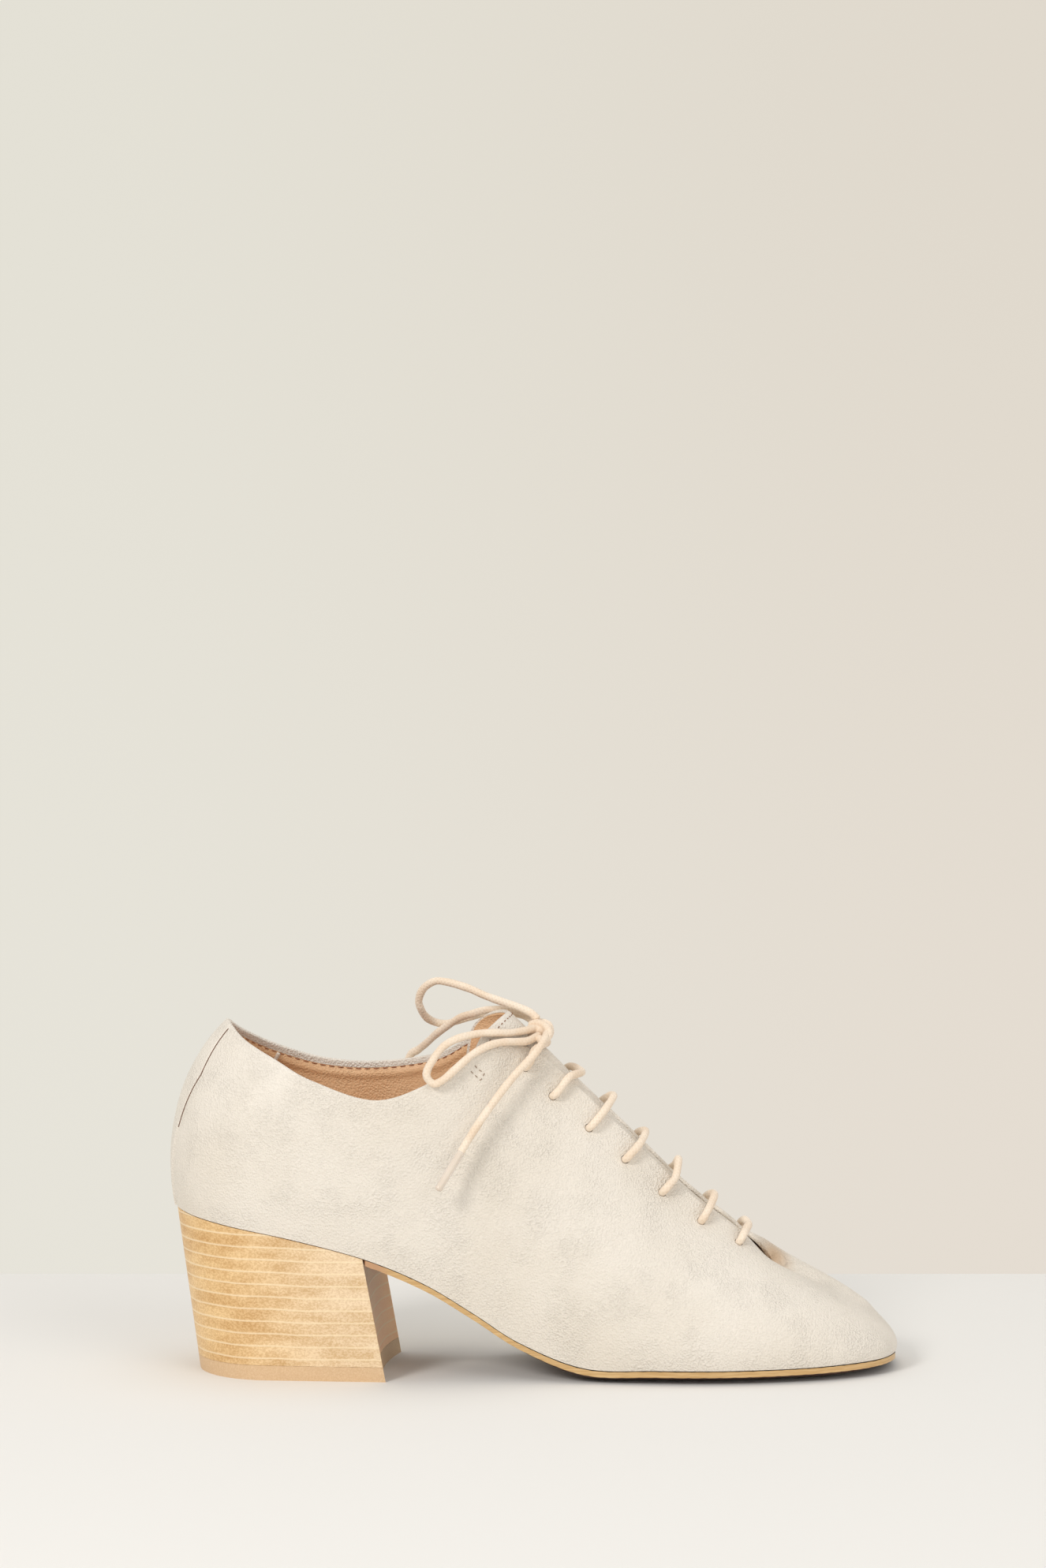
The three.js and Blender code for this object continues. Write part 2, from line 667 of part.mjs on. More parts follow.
// The insole fills the inside of the walls from heel to toe
const insoleToe = [0, stationCount].map((back) => lerpStation(back, toeStation, insoleFront));
function insole() {
  const inset = wallThickness + liningGap + soleInset;
  const sides = {
    outer: (a) => featherAt(lerpStation(1, insoleToe[0], a), inset),
    inner: (a) => featherAt(lerpStation(stationCount - 1, insoleToe[1], a), inset),
    back: (b) => featherAt(lerpStation(1, -1, b), inset),
    front: (b) => featherAt(lerpStation(insoleToe[0], insoleToe[1], b), inset),
  };
  const place = (a, b, c) => seatPoint(patchPoint(a, b, sides), seatGap + c * insoleThickness);
  return blockGeometry(place, ...insoleSteps);
}

// The tongue lies under the throat's walls, arches over the gap and stands out of the top
function tongueRise(share) {
  const rows = tongueRows.map((row) => readRow(tongueColumns, row));
  const next = Math.max(1, rows.findIndex((row) => row.share >= share));
  const [from, to] = [rows[next - 1], rows[next]];
  const rise = THREE.MathUtils.mapLinear(share, from.share, to.share, from.rise, to.rise);
  return (rise * instepHeight) / 100;
}

function tongueSide(station, depthBelow) {
  const share = depthBelow > 0 ? heightBelow(station, depthBelow) : 1;
  return insideUpper(station, share, wallThickness + liningGap);
}

// Share of the tongue's width under each wall, and how round its arch leaves them
const underShare = 0.25;
const archReach = 3;
const archFullness = 0.42;
const crestFullness = 0.5;
function tongueSurface(a, b) {
  const outerStation = lerpStation(tongueTopStation, tongueBaseStation, a);
  const stations = [outerStation, stationCount - outerStation];
  const near = b < 0.5;
  const station = near ? stations[0] : stations[1];
  const inward = near ? b : 1 - b;
  if (inward < underShare) return tongueSide(station, tongueDepth * (1 - inward / underShare));
  const foot = tongueSide(station, 0);
  const climb = foot.clone().sub(tongueSide(station, archReach)).normalize();
  const edges = stations.map((value) => upperSurface(value, 1));
  const lift = edges[1].clone().sub(edges[0]).cross(throatWay).normalize();
  if (lift.z < 0) lift.negate();
  const crest = mix(...edges, 0.5).addScaledVector(lift, tongueRise(a));
  const span = foot.distanceTo(crest);
  const curve = new THREE.CubicBezierCurve3(
    foot,
    foot.clone().addScaledVector(climb, archFullness * span),
    vector(crest.x, THREE.MathUtils.lerp(crest.y, foot.y, crestFullness), crest.z),
    crest,
  );
  return curve.getPoint((inward - underShare) / (0.5 - underShare));
}

function tongue() {
  return blockGeometry((a, b, c) => {
    const point = tongueSurface(a, b);
    const along = tongueSurface(Math.min(1, a + small), b).sub(tongueSurface(Math.max(0, a - small), b));
    const across = tongueSurface(a, Math.min(1, b + small)).sub(tongueSurface(a, Math.max(0, b - small)));
    const normal = along.cross(across).normalize();
    return point.addScaledVector(normal, (c - 1) * tongueThickness);
  }, ...tongueSteps);
}

function knot() {
  const ball = new THREE.SphereGeometry(0.5, ...knotSteps);
  ball.scale(knotLength, knotWidth, knotHeight);
  ball.rotateY(knotTilt);
  ball.translate(...knotCentre);
  return fromSolid(toSolid(ball));
}

// The clear tip goes on from the end of the lace in the same direction
function agletPoints(points) {
  const [last, before] = [points.at(-1), points.at(-2)];
  const way = vector(...last).sub(vector(...before)).normalize();
  const from = vector(...last).addScaledVector(way, seatGap);
  return [from, from.clone().addScaledVector(way, agletLength)];
}

const shoe = new THREE.Group();
function add(name, geometry, material) {
  const mesh = new THREE.Mesh(geometry, material);
  mesh.name = name;
  shoe.add(mesh);
}

const toVectors = (points) => points.map((point) => vector(...point));
add('upper', piercedUpper(), leather);
add('outsole', outsole(), soleLeather);
add('heel_block', heelBlock(), stackedWood);
add('top_piece', topPiece(), heelRubber);
add('insole', insole(), lining);
add('tongue', tongue(), leather);
eyeletPairs.forEach((pair, row) => {
  add(`lace_bar_${row + 1}`, cordGeometry(barPoints(pair, row), laceDiameter, barSteps), cottonLace);
});
add('lace_knot', knot(), cottonLace);
add('lace_loop_near', cordGeometry(toVectors(nearLoop), laceDiameter, loopSteps), cottonLace);
add('lace_loop_far', cordGeometry(toVectors(farLoop), laceDiameter, loopSteps), cottonLace);
add('lace_end_near', cordGeometry(toVectors(nearEnd), laceDiameter, nearEndSteps), cottonLace);
add('lace_end_far', cordGeometry(toVectors(farEnd), laceDiameter, farEndSteps), cottonLace);
add('aglet_near', cordGeometry(agletPoints(nearEnd), agletDiameter, 1), clearPlastic);
add('aglet_far', cordGeometry(agletPoints(farEnd), agletDiameter, 1), clearPlastic);

export default shoe;
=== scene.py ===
# A right lace-up shoe with a stacked block heel, dressed over its solids.
# Metres, +X to the toe, +Y to the foot's inner side, +Z up. The middle of the heel's underside is the origin.
import bpy
import numpy as np
from math import radians
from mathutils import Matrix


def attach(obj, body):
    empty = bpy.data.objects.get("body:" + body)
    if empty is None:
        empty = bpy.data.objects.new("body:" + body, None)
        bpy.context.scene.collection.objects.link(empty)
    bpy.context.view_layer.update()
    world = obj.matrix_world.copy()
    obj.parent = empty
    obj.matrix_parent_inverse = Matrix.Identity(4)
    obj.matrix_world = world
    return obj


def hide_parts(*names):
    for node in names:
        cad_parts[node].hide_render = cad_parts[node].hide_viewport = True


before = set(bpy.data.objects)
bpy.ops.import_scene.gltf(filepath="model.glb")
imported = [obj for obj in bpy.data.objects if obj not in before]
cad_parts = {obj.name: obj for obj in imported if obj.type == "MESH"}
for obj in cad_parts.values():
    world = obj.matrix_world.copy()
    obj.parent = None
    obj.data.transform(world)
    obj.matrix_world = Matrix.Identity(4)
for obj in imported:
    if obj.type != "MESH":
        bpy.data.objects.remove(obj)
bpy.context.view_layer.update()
scene = bpy.context.scene
root = "root"
mm = 0.001
print("frame loaded,", len(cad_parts), "nodes")


def addObject(name, data):
    made = bpy.data.objects.new(name, data)
    scene.collection.objects.link(made)
    return made


# Camera, where the photograph was taken from: about 1.9 m away and a little above the shoe
cameraSetup = {"place": (0.0758, -1.8710, 0.38406), "tilt": 84.269, "lens": 129.83, "sensor": 36}
cameraData = bpy.data.cameras.new("camera")
cameraData.lens = cameraSetup["lens"]
cameraData.sensor_width = cameraSetup["sensor"]
camera = addObject("camera", cameraData)
camera.location = cameraSetup["place"]
camera.rotation_euler = (radians(cameraSetup["tilt"]), 0, 0)
scene.camera = camera
scene.view_settings.view_transform = "Standard"


# Shader sheets: each finish is written as arithmetic on sockets
def tone(red, green, blue):
    # screen colour, 0 to 255, made linear
    c = np.array([red, green, blue]) / 255
    linear = np.where(c <= 0.04045, c / 12.92, ((c + 0.055) / 1.055) ** 2.4)
    return (*linear.tolist(), 1.0)


class Value:
    # one socket that can be added, multiplied and so on, each operator adding a Math node
    def __init__(self, sheet, socket):
        self.sheet, self.socket = sheet, socket

    def math(self, operation, *others):
        return self.sheet.node("Math", {"operation": operation}, dict(enumerate((self, *others))))

    def __add__(self, other):
        return self.math("ADD", other)

    def __sub__(self, other):
        return self.math("SUBTRACT", other)

    def __rsub__(self, other):
        return self.sheet.node("Math", {"operation": "SUBTRACT"}, {0: other, 1: self})

    def __mul__(self, other):
        return self.math("MULTIPLY", other)

    def __truediv__(self, other):
        return self.math("DIVIDE", other)

    __radd__, __rmul__ = __add__, __mul__

    def ramp(self, low, high, start=0.0, end=1.0):
        # smooth rise from start to end between two readings
        settings = {"interpolation_type": "SMOOTHSTEP"}
        return self.sheet.node("MapRange", settings, {0: self, 1: low, 2: high, 3: start, 4: end})


class Sheet:
    def __init__(self, name, **sockets):
        self.material = bpy.data.materials.new(name)
        self.material.use_nodes = True
        self.tree = self.material.node_tree
        self.shader = self.tree.nodes["Principled BSDF"]
        self.set(**sockets)

    def feed(self, socket, value):
        if isinstance(value, Value):
            self.tree.links.new(value.socket, socket)
        else:
            socket.default_value = value

    def node(self, kind, settings=None, inputs=None, output=0):
        made = self.tree.nodes.new("ShaderNode" + kind)
        for key, value in (settings or {}).items():
            setattr(made, key, value)
        for key, value in (inputs or {}).items():
            self.feed(made.inputs[key], value)
        return Value(self, made.outputs[output])

    def set(self, **sockets):
        for key, value in sockets.items():
            self.feed(self.shader.inputs[key.replace("_", " ")], value)
        return self.material

    def place(self, scale=(1, 1, 1)):
        found = self.node("TexCoord", output=3)
        return self.node("Mapping", {}, {"Vector": found, "Scale": scale})

    def noise(self, where, scale, detail=2.0, roughness=0.5):
        inputs = {"Vector": where, "Scale": scale, "Detail": detail, "Roughness": roughness}
        return self.node("TexNoise", {}, inputs)

    def axis(self, where, number):
        return self.node("SeparateXYZ", {}, {0: where}, number)

    def distance(self, where, spot):
        return self.node("VectorMath", {"operation": "DISTANCE"}, {0: where, 1: spot}, 1)

    def mix(self, share, first, second):
        return self.node("Mix", {"data_type": "RGBA"}, {0: share, 6: first, 7: second}, 2)

    def bump(self, height, distance, strength):
        return self.node("Bump", {}, {"Height": height, "Distance": distance, "Strength": strength})


def leatherFinish(name, light, dark, grain, gloss, valley=None):
    # pores and pebbles of a smooth hide, soft clouds in its colour, and fine wrinkles where it is pulled in,
    # with a painted warm shade in the valley there
    sheet = Sheet(name, IOR=1.48, Coat_Roughness=0.32)
    where = sheet.place()
    clouds = sheet.noise(where, 26, 2)
    pebbles = sheet.node("TexVoronoi", {}, {"Vector": where, "Scale": 1500})
    pores = sheet.noise(where, 2600, 2, 0.6)
    patches = sheet.noise(where, 70, 2).ramp(0.40, 0.66)
    folds = sheet.noise(sheet.place((1, 1, 0.4)), 420, 2, 0.55)
    colour = sheet.mix(clouds.ramp(0.3, 0.75), light, dark)
    rough = gloss + 0.07 * clouds + 0.12 * pores - 0.06 - 0.10 * patches
    height = (folds * patches * 0.25 + pebbles * (patches * 0.5 + 0.8) + pores * 0.2) * grain
    if valley:
        pulled = sheet.distance(where, valley["centre"]).ramp(valley["reach"], 0.0)
        lines = sheet.node("TexWave", {"bands_direction": "X"}, {
            "Vector": sheet.node("Mapping", {}, {"Vector": where, "Rotation": valley["turn"]}),
            "Scale": valley["lines"], "Distortion": 3.5, "Detail": 1.5, "Detail Scale": 1.2,
        }, 1)
        height = height * (1 - pulled * 0.6) + lines * pulled * 1.7
        # painted shade: a warm tint darkens the valley, standing for the shadow in the fold
        paintedShade = sheet.distance(where, valley["paintedShadeCentre"]).ramp(valley["paintedShadeReach"], 0.0, 0.0, 0.85)
        colour = sheet.mix(paintedShade, colour, valley["shade"])
    fine = sheet.bump(height, 0.00036, 0.95)
    return sheet.set(Base_Color=colour, Roughness=rough, Normal=fine, Coat_Weight=0.14)


# The hide is pulled into fine wrinkles just in front of the throat's base; the shade entries paint a warm shade
# into the valley there, where the fold lies in shadow
foldAndShade = {
    "centre": (0.1625, 0.0035, 0.0345), "reach": 0.0100, "turn": (0.5, 0.0, 0.9), "lines": 300,
    "paintedShadeCentre": (0.1595, 0.0042, 0.0360), "paintedShadeReach": 0.0105, "shade": tone(192, 158, 120),
}
creamLeather = leatherFinish("creamLeather", tone(231, 223, 211), tone(225, 216, 202), 1.0, 0.46, foldAndShade)
tanLining = leatherFinish("tanLining", tone(232, 190, 146), tone(221, 174, 128), 0.7, 0.6)
# underside of the sole: brown leather made very dark, partly painted shade standing for the shadow under the
# sole
soleUnderShaded = leatherFinish("soleUnderShaded", tone(74, 38, 16), tone(58, 28, 10), 0.7, 0.60)


def edgeFinish():
    # waxed, golden edge of the sole with faint scratches along it, brown where it leaves the heel
    sheet = Sheet("soleEdge", IOR=1.5, Coat_Roughness=0.2)
    streaks = sheet.noise(sheet.place((0.12, 0.12, 3)), 900, 4, 0.6)
    along = sheet.axis(sheet.place(), 0)
    gold = sheet.mix(streaks.ramp(0.35, 0.7), tone(194, 154, 97), tone(216, 182, 129))
    colour = sheet.mix(along.ramp(0.0275, 0.0335), tone(190, 146, 108), gold)
    rough = 0.30 + 0.2 * streaks
    return sheet.set(Base_Color=colour, Roughness=rough, Coat_Weight=0.25,
                     Normal=sheet.bump(streaks, 0.00005, 0.4))


def stackFinish(name, goldTones, paleTones, lineTone, pitch=4.15 * mm):
    # layers of a stacked heel: a thin pale line every pitch and a speckled tone for each layer;
    # the first two tones, darker and lighter, hold at the back and the next two at the breast
    sheet = Sheet(name, IOR=1.5, Coat_Roughness=0.28)
    where = sheet.place()
    along, height = sheet.axis(where, 0), sheet.axis(where, 2)
    sway = sheet.noise(sheet.place((1, 1, 0.2)), 30, 2)
    level = height / pitch + 0.5 * sway
    inLayer = level.math("FRACT")
    shade = sheet.node("TexWhiteNoise", {"noise_dimensions": "1D"}, {"W": level.math("FLOOR")})
    line = inLayer.ramp(0.0, 0.17, 1.0, 0.0) + inLayer.ramp(0.93, 1.0)
    speckle = sheet.noise(sheet.place((0.7, 0.7, 1)), 1700, 2, 0.7)
    blotch = sheet.noise(sheet.place((0.45, 0.45, 1.5)), 120, 2)
    dark, light = (sheet.mix(along.ramp(-0.03, 0.022), goldTones[k], paleTones[k]) for k in (0, 1))
    depth = speckle.ramp(0.38, 0.62) * 0.45 + blotch.ramp(0.34, 0.66) * 0.45 + shade * 0.1
    colour = sheet.mix(line * 0.75, sheet.mix(depth, dark, light), lineTone)
    rough = 0.40 + 0.18 * speckle
    return sheet.set(Base_Color=colour, Roughness=rough, Coat_Weight=0.15,
                     Normal=sheet.bump(speckle * 0.7 + line, 0.00010, 0.6))


def rubberFinish():
    # tan rubber with a fine speckle and a dull skin
    sheet = Sheet("heelRubber", IOR=1.5)
    where = sheet.place()
    speckle = sheet.noise(where, 1800, 3, 0.7)
    broad = sheet.noise(where, 45, 2)
    colour = sheet.mix(speckle.ramp(0.35, 0.75), tone(212, 178, 138), tone(224, 194, 156))
    return sheet.set(Base_Color=colour, Roughness=0.52 + 0.15 * broad,
                     Normal=sheet.bump(speckle, 0.00006, 0.5))


def laceFinish():
    # round plaited cord: strands cross each other in two slants round and along the cord, with painted shade in
    # the grooves between them
    sheet = Sheet("laceCord", IOR=1.45, Sheen_Weight=0.25, Sheen_Roughness=0.5)
    around = sheet.node("UVMap", {"uv_map": "UVMap"})
    strands, slant = sheet.axis(around, 0) * 25.2, sheet.axis(around, 1) * 12.0
    slantOne = (slant + strands).math("SINE")
    slantTwo = (slant - strands).math("SINE")
    plait = slantOne.math("MAXIMUM", slantTwo)
    fuzz = sheet.noise(sheet.place(), 2600, 3, 0.6)
    broad = sheet.noise(sheet.place(), 120, 2)
    colour = sheet.mix(broad.ramp(0.3, 0.7), tone(242, 226, 206), tone(233, 211, 186))
    # painted shade: the grooves between the strands are darkened toward tan
    colour = sheet.mix(plait.ramp(0.9, -0.2, 0.0, 0.14), colour, tone(196, 164, 126))
    height = plait * 0.45 + 0.55 * fuzz
    return sheet.set(Base_Color=colour, Roughness=0.62 + 0.15 * fuzz,
                     Normal=sheet.bump(height, 0.00016, 0.6))


def threadFinish(name, light, dark):
    # twisted sewing thread
    sheet = Sheet(name, IOR=1.45)
    twist = sheet.noise(sheet.place(), 5200, 2)
    colour = sheet.mix(twist.ramp(0.35, 0.65), light, dark)
    return sheet.set(Base_Color=colour, Roughness=0.5 + 0.2 * twist,
                     Normal=sheet.bump(twist, 0.00004, 0.5))


def filmFinish():
    # clear plastic film of the lace tips
    sheet = Sheet("clearFilm", IOR=1.46, Alpha=0.42, Coat_Weight=0.6, Coat_Roughness=0.08)
    crinkle = sheet.noise(sheet.place(), 900, 2)
    colour = sheet.mix(crinkle, tone(244, 240, 234), tone(232, 224, 214))
    return sheet.set(Base_Color=colour, Roughness=0.12 + 0.12 * crinkle,
                     Normal=sheet.bump(crinkle, 0.0001, 0.4))


soleEdge = edgeFinish()
stackedLayers = stackFinish(
    "stackedLayers", (tone(196, 148, 86), tone(238, 204, 150)), (tone(206, 170, 120), tone(242, 218, 184)),
    tone(246, 224, 186))
# a lighter copy of the layers for the breast, which lies in shade under the arch: painted light standing for
# the bounce that reaches it
breastLayersLit = stackFinish(
    "breastLayersLit", (tone(250, 184, 124), tone(255, 206, 146)), (tone(250, 184, 124), tone(255, 206, 146)),
    tone(255, 220, 172))
heelRubber = rubberFinish()
laceCord = laceFinish()
clearFilm = filmFinish()
creamThread = threadFinish("creamThread", tone(232, 224, 212), tone(206, 190, 170))
tanThread = threadFinish("tanThread", tone(160, 116, 84), tone(112, 76, 52))
greyThread = threadFinish("greyThread", tone(164, 142, 120), tone(128, 106, 86))
rustThread = threadFinish("rustThread", tone(178, 116, 82), tone(136, 84, 58))
seamShade = threadFinish("seamShade", tone(126, 96, 78), tone(96, 68, 52))
print("finishes made")


# Arrays and meshes
def lengthOf(v):
    return np.linalg.norm(v, axis=-1)


def unit(v):
    return v / np.maximum(lengthOf(v), 1e-12)[..., None]


def smoothRise(value, low, high):
    t = np.clip((value - low) / (high - low), 0, 1)
    return t * t * (3 - 2 * t)


def lerp(first, second, share):
    return first + (second - first) * share


def gridFaces(rows, columns, closedRows=False, closedColumns=False):
    # one quad for each cell of a grid of points, and the column and row of each of its corners
    i = np.arange(rows if closedRows else rows - 1)[:, None]
    j = np.arange(columns if closedColumns else columns - 1)[None, :]
    corners = ((0, 0), (1, 0), (1, 1), (0, 1))
    quads = np.stack([((i + a) % rows) * columns + (j + b) % columns for a, b in corners], -1)
    uv = np.stack([np.stack(np.broadcast_arrays(j + b, i + a), -1) for a, b in corners], -2)
    return quads.reshape(-1, 4), uv.reshape(-1, 4, 2).astype(float)


def runAlong(path):
    # length of the path up to each of its points
    return np.concatenate([[0], np.cumsum(lengthOf(np.diff(path, axis=0)))])


def pathLength(path):
    return float(lengthOf(np.diff(path, axis=0)).sum())


def pointsAt(at, run, path):
    return np.stack([np.interp(at, run, path[:, k]) for k in range(3)], 1)


def spline(a, b, c, d, t):
    # Catmull-Rom: from b at t = 0 to c at t = 1, with a before them and d behind
    square, cube = 2 * a - 5 * b + 4 * c - d, 3 * b - a - 3 * c + d
    return 0.5 * (2 * b + (c - a) * t + square * t ** 2 + cube * t ** 3)


def throughPoints(points, count):
    # spline through the points, set out again in even steps of its length
    p = np.asarray(points, float)
    p = np.vstack([2 * p[0] - p[1], p, 2 * p[-1] - p[-2]])
    t = np.linspace(0, len(p) - 3, 40 * len(p))
    first = np.minimum(t.astype(int), len(p) - 4)
    fine = spline(*(p[first + k] for k in range(4)), (t - first)[:, None])
    run = runAlong(fine)
    return pointsAt(np.linspace(0, run[-1], count), run, fine)


def signedVolume(points, faces):
    # sum of the tetrahedra between the origin and each face's fan of triangles
    total = 0.0
    for group in faces:
        for k in range(1, group.shape[1] - 1):
            a, b, c = points[group[:, 0]], points[group[:, k]], points[group[:, k + 1]]
            total += np.einsum("ij,ij->", a, np.cross(b, c)) / 6
    return total


def makeMesh(name, points, faces, uv=None):
    # faces is a list of index arrays, three or four across; a solid that is inside out is turned
    points = np.asarray(points, float).reshape(-1, 3)
    if signedVolume(points, faces) < 0:
        faces = [group[:, ::-1] for group in faces]
        uv = None if uv is None else uv[:, ::-1]
    mesh = bpy.data.meshes.new(name)
    mesh.from_pydata(points.tolist(), [], [face for group in faces for face in group.tolist()])
    if uv is not None:
        corners = np.zeros((len(mesh.loops), 2))
        corners[:uv.shape[0] * uv.shape[1]] = uv.reshape(-1, 2)
        mesh.uv_layers.new(name="UVMap").data.foreach_set("uv", corners.ravel())
    return mesh


def addPiece(name, points, faces, material, uv=None, replaced=(), sharp=None):
    # one finished piece of the shoe; edges steeper than sharp, in degrees, stay crisp
    mesh = makeMesh(name, points, faces, uv)
    mesh.materials.append(material)
    mesh.shade_smooth()
    if sharp:
        mesh.set_sharp_from_angle(angle=radians(sharp))
    piece = addObject(name, mesh)
    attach(piece, root)
    if replaced:
        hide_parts(*replaced)
    return piece


def softenEdges(piece, width, finish=-1):
    # finish is the number of the material that the rounded edge takes, -1 for its neighbours'
    bevel = piece.modifiers.new("edges", "BEVEL")
    bevel.width = width
    bevel.segments = 3
    bevel.material = finish
    bevel.limit_method = "ANGLE"
    bevel.angle_limit = radians(40)
    bevel.harden_normals = True


def faceNormals(piece):
    normals = np.zeros(len(piece.data.polygons) * 3)
    piece.data.polygons.foreach_get("normal", normals)
    return normals.reshape(-1, 3)


def paintFaces(piece, material, chosen):
    piece.data.materials.append(material)
    piece.data.polygons.foreach_set("material_index", chosen.astype(np.int32))


def applyModifiers(piece):
    evaluated = piece.evaluated_get(bpy.context.evaluated_depsgraph_get())
    old, piece.data = piece.data, bpy.data.meshes.new_from_object(evaluated)
    piece.modifiers.clear()
    bpy.data.meshes.remove(old)


tubeSides, capRings = 18, 5


def tubeSurface(path, radius):
    # ring centre + radius * (side * cos a + up * sin a), with both ends rounded by shrinking rings
    path = np.asarray(path)
    normal = np.linalg.svd(path - path.mean(0))[2][2]
    radius = np.broadcast_to(radius, len(path)).astype(float)
    way = unit(np.gradient(path, axis=0))
    swing = np.linspace(0, np.pi / 2, capRings + 1)[1:]
    reach, shrink = np.sin(swing)[:, None], np.maximum(np.cos(swing), 0.02)
    head = path[0] - way[0] * radius[0] * 0.6 * reach[::-1]
    tail = path[-1] + way[-1] * radius[-1] * 0.6 * reach
    centres = np.vstack([head, path, tail])
    radii = np.concatenate([radius[0] * shrink[::-1], radius, radius[-1] * shrink])
    way = np.vstack([np.repeat(way[:1], capRings, 0), way, np.repeat(way[-1:], capRings, 0)])
    side = unit(np.cross(way, normal))
    up = np.cross(side, way)
    angle = np.linspace(0, 2 * np.pi, tubeSides, endpoint=False)[:, None]
    ring = side[:, None] * np.cos(angle) + up[:, None] * np.sin(angle)
    return centres[:, None] + radii[:, None, None] * ring


def tubeFaces(surface, diameter):
    # quads round the tube and a fan of triangles over each end
    rows, sides = surface.shape[:2]
    quads, uv = gridFaces(rows, sides, False, True)
    centres = surface.mean(1)
    run = runAlong(centres) / diameter
    uv = np.stack([uv[..., 0] / sides, run[uv[..., 1].astype(int)]], -1)
    k = np.arange(sides)
    near = np.stack([(k + 1) % sides, k, np.full(sides, rows * sides)], 1)
    last = (rows - 1) * sides
    far = np.stack([last + k, last + (k + 1) % sides, np.full(sides, rows * sides + 1)], 1)
    points = np.vstack([surface.reshape(-1, 3), centres[:1], centres[-1:]])
    return points, [quads, np.vstack([near, far])], uv


def addTube(name, path, radius, material, replaced=()):
    points, faces, uv = tubeFaces(tubeSurface(path, radius), 2 * float(np.mean(radius)))
    return addPiece(name, points, faces, material, uv, replaced)


def addBlock(name, layers, material, replaced=()):
    # closed solid through sheets of points: first and last whole, those between by their rims
    count, rows, columns = layers.shape[:3]
    index = np.arange(rows * columns).reshape(rows, columns)
    rim = np.concatenate([index[:-1, 0], index[-1, :-1], index[:0:-1, -1], index[0, :0:-1]])
    sheets = layers.reshape(count, -1, 3)
    points = np.vstack([sheets[0], *[sheet[rim] for sheet in sheets[1:-1]], sheets[-1]])
    starts = rows * columns + np.arange(count - 1) * len(rim)
    loops = np.vstack([rim, *[start + np.arange(len(rim)) for start in starts[:-1]], starts[-1] + rim])
    quads = gridFaces(rows, columns)[0]
    sides = np.stack([loops[:-1], np.roll(loops[:-1], -1, 1), np.roll(loops[1:], -1, 1), loops[1:]], -1)
    faces = [quads, quads[:, ::-1] + starts[-1], sides.reshape(-1, 4)]
    return addPiece(name, points, faces, material, None, replaced, 40)


# The last: sections from the back of the heel round the outer side to the toe, then the inner side.
# along, topAlong and lean are hundredths of the length; across, topAcross and bulge of half the ball width;
# seat of the seat height; top, rise and drop of the instep height; reach of the way from top to feather edge.
last = {"length": 0.243, "ballWidth": 0.074, "seatHeight": 0.055, "instepHeight": 0.110, "wall": 0.0016}
backSection = [-16.6, 8.6, 99.5, -9.5, 6.8, 106.2, 10, 15.5, 100, -0.6, 16.4]
outerSections = [
    [-14.5, -33.8, 97.8, -7.2, -27, 101.8, 9.7, 15.5, 95, -0.4, 16.4],
    [-9.3, -60.8, 93.8, -2.6, -52.7, 96.5, 9.5, 15.5, 90, -0.4, 16.4],
    [-0.4, -75.7, 86.9, 2.5, -67, 90.7, 8.1, 14.5, 80, 0, 15.5],
    [9.5, -79.7, 75.6, 11.5, -73.5, 85.1, 5.4, 15.5, 80, 0, 15.5],
    [17.7, -76.2, 60, 20.3, -64.9, 91.9, 5.4, 20, 70, 0, 20],
    [24.3, -75.1, 42.2, 26.5, -44.6, 99.3, 8.1, 25.5, 75, -1.6, 23.6],
    [30.9, -76.2, 23.6, 32.5, -20.3, 98.2, 10.8, 27.3, 68, -3.3, 24.5],
    [39.5, -83.2, 9.5, 42.6, -14.9, 78.4, 12.2, 23.6, 62, -3.3, 20],
    [49, -90.3, 8.9, 53.5, -12.2, 54.9, 12.2, 18.2, 62, -2.1, 13.6],
    [58, -91.4, 8.9, 60.1, -8.6, 43.6, 11.6, 14.5, 62, -0.4, 8.2],
    [66.3, -84.3, 9.1, 63.4, -7, 37.6, 10.8, 11.8, 62, 0, 6.4],
    [73.7, -70.3, 9.5, 65.2, -5.1, 34.2, 9.7, 10, 55, 0, 6.4],
    [79.6, -47.3, 10, 66.2, -2.2, 32.5, 9.2, 8.2, 52, 0, 7.6],
    [82.2, -21.6, 10.7, 66.4, -0.3, 32, 8.6, 6.8, 50, 0, 8.4],
]
toeSection = [82.8, 10.8, 11.3, 66.5, 1.6, 31.8, 8.1, 6.3, 50, 0, 8.6]
